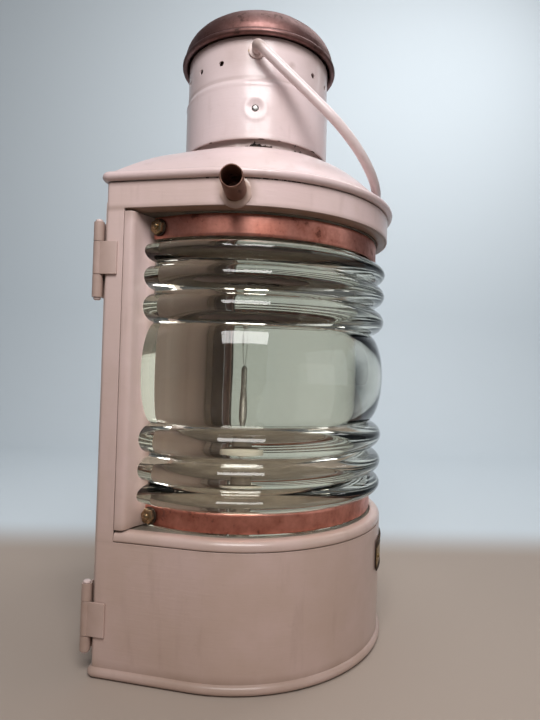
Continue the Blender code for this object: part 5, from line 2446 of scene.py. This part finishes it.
@dataclass
class Studio:
    """Pale floor and backdrop, a soft key light, a weak fill, a wash on the backdrop, the camera."""

    floor_colour: Point = (0.40, 0.325, 0.272)
    wall_colour: Point = (0.66, 0.715, 0.75)
    floor_ends: tuple[float, float] = (0.13, 0.24)
    camera_bearing: float = radians(75.02)
    camera_distance: float = 0.4206
    camera_z: float = 0.1913
    wash_across: float = -0.42
    yaw: float = radians(2.70)
    pitch: float = radians(0.67)
    roll: float = radians(-1.79)
    lens_mm: float = 27.0
    sensor_mm: float = 36.0

    def turned(self, bearing: float, height: float, distance: float) -> Vector:
        """A step towards a bearing and a height above the horizon, both in degrees."""
        level = cos(radians(height)) * distance
        return at_bearing(radians(bearing), level, sin(radians(height)) * distance)

    def sweep(self) -> None:
        """The floor and the wall behind, as one curved sheet of paper."""
        away = at_bearing(self.camera_bearing, -1.0, 0.0)
        across = UP.cross(away)
        curve = 0.35
        wall = 1.1
        plan = [(-2.2, 0.0)] + [(x, 0.0) for x in arc(-0.6, wall - curve, 6)]
        plan += [(wall - curve + curve * sin(a), curve * (1 - cos(a))) for a in arc(0.0, pi / 2, 24)[1:]]
        plan += [(wall, z) for z in (1.0, 2.4)]
        loops = []
        for x, z in plan:
            loops.append([away * x + across * s + Vector((0.0, 0.0, z - 0.0004)) for s in arc(-2.4, 2.4, 8)])
        paper = Build("studio_paper").loft(loops, Join.OPEN, closed=False).make(60.0)
        graph = Graph("paper")
        where = graph.place()
        clouds = graph.noise(where, 0.30, 3.0, 0.5)
        height = where.part(2)
        behind = where.part(0) * away.x + where.part(1) * away.y
        floor_tint = graph.colour(self.floor_colour)
        wall_share = behind.ease(*self.floor_ends).most(height.ease(0.02, 0.25))
        graph.set(
            Base_Color=floor_tint.mix(self.wall_colour, wall_share),
            Roughness=0.85 + 0.05 * clouds,
        )
        paper.data.materials.append(graph.material)

    def light(self, name: str, place: Vector, aim: Vector, size: tuple[float, float], power: float,
              colour: Point) -> None:
        """An area light that the camera does not see.

        Args:
            name: Its name.
            place: Where it hangs.
            aim: The point that it faces.
            size: Its width and height.
            power: Its power in watts.
            colour: Its colour.
        """
        data = bpy.data.lights.new(name, "AREA")
        data.shape = "RECTANGLE"
        data.size, data.size_y = size
        data.energy = power
        data.color = colour
        lamp = bpy.data.objects.new(name, data)
        lamp.visible_camera = False
        lamp.location = place
        lamp.rotation_mode = "QUATERNION"
        lamp.rotation_quaternion = (aim - place).to_track_quat("-Z", "Y")
        bpy.context.scene.collection.objects.link(lamp)

    def lights(self) -> None:
        """The window-like key, a fill from the front, a wash on the wall and the room's own light."""
        top = Vector((0.0, 0.0, 0.38))
        middle = Vector((0.0, 0.0, 0.22))
        key = top + self.turned(75.0, 34.0, 0.73)
        self.light("key", key, top, (0.46, 0.42), 6.2, (1.0, 0.985, 0.98))
        fill = middle + self.turned(8.0, 4.0, 2.0)
        self.light("fill", fill, middle, (1.4, 1.2), 4.4, (0.95, 0.98, 1.0))
        wall = at_bearing(self.camera_bearing, -1.1, 0.45)
        wash = at_bearing(self.camera_bearing, -0.30, 1.15, across=self.wash_across)
        self.light("wall_wash", wash, wall, (1.2, 0.6), 9.0, (0.97, 0.985, 1.0))
        world = bpy.data.worlds.new("room")
        world.use_nodes = True
        back = world.node_tree.nodes["Background"]
        back.inputs["Color"].default_value = (0.72, 0.78, 0.86, 1.0)
        back.inputs["Strength"].default_value = 0.14
        bpy.context.scene.world = world

    def camera(self) -> None:
        """The camera, close to the starboard side and a little below the middle."""
        data = bpy.data.cameras.new("view")
        data.lens = self.lens_mm
        data.sensor_width = self.sensor_mm
        data.clip_start = 0.01
        data.clip_end = 20.0
        camera = bpy.data.objects.new("view", data)
        camera.location = at_bearing(self.camera_bearing, self.camera_distance, self.camera_z)
        heading = self.camera_bearing + self.yaw
        forward = -at_bearing(heading, cos(self.pitch), -sin(self.pitch))
        right = forward.cross(UP).normalized()
        up = right.cross(forward)
        turned_right = right * cos(self.roll) - up * sin(self.roll)
        turned_up = turned_right.cross(forward)
        basis = Matrix((turned_right, turned_up, -forward)).transposed()
        camera.rotation_mode = "QUATERNION"
        camera.rotation_quaternion = basis.to_quaternion()
        bpy.context.scene.collection.objects.link(camera)
        bpy.context.scene.camera = camera

    def build(self) -> None:
        """Set up the whole studio."""
        self.camera()
        self.sweep()
        self.lights()
        bpy.context.scene.view_settings.view_transform = "Standard"


def main() -> None:
    """Build the lantern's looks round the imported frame."""
    logging.basicConfig(level=logging.INFO, format="%(relativeCreated)6d ms  %(message)s")
    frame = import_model()
    Studio().build()
    shop = Workshop(Wardrobe(), frame["nodes"])
    size = Measures.read()
    Body(size).build(shop)
    Hood(size).build(shop)
    Chimney(size).build(shop)
    Cap(size).build(shop)
    Lens(size).build(shop)
    Bands(size).build(shop)
    SideTube().build(shop, size.half_width)
    Nameplate().build(shop)
    Lamp().build(shop)
    RearDoor(size).build(shop)
    Bail(size, frame["record"]).build(shop)


if __name__ == "__main__":
    main()
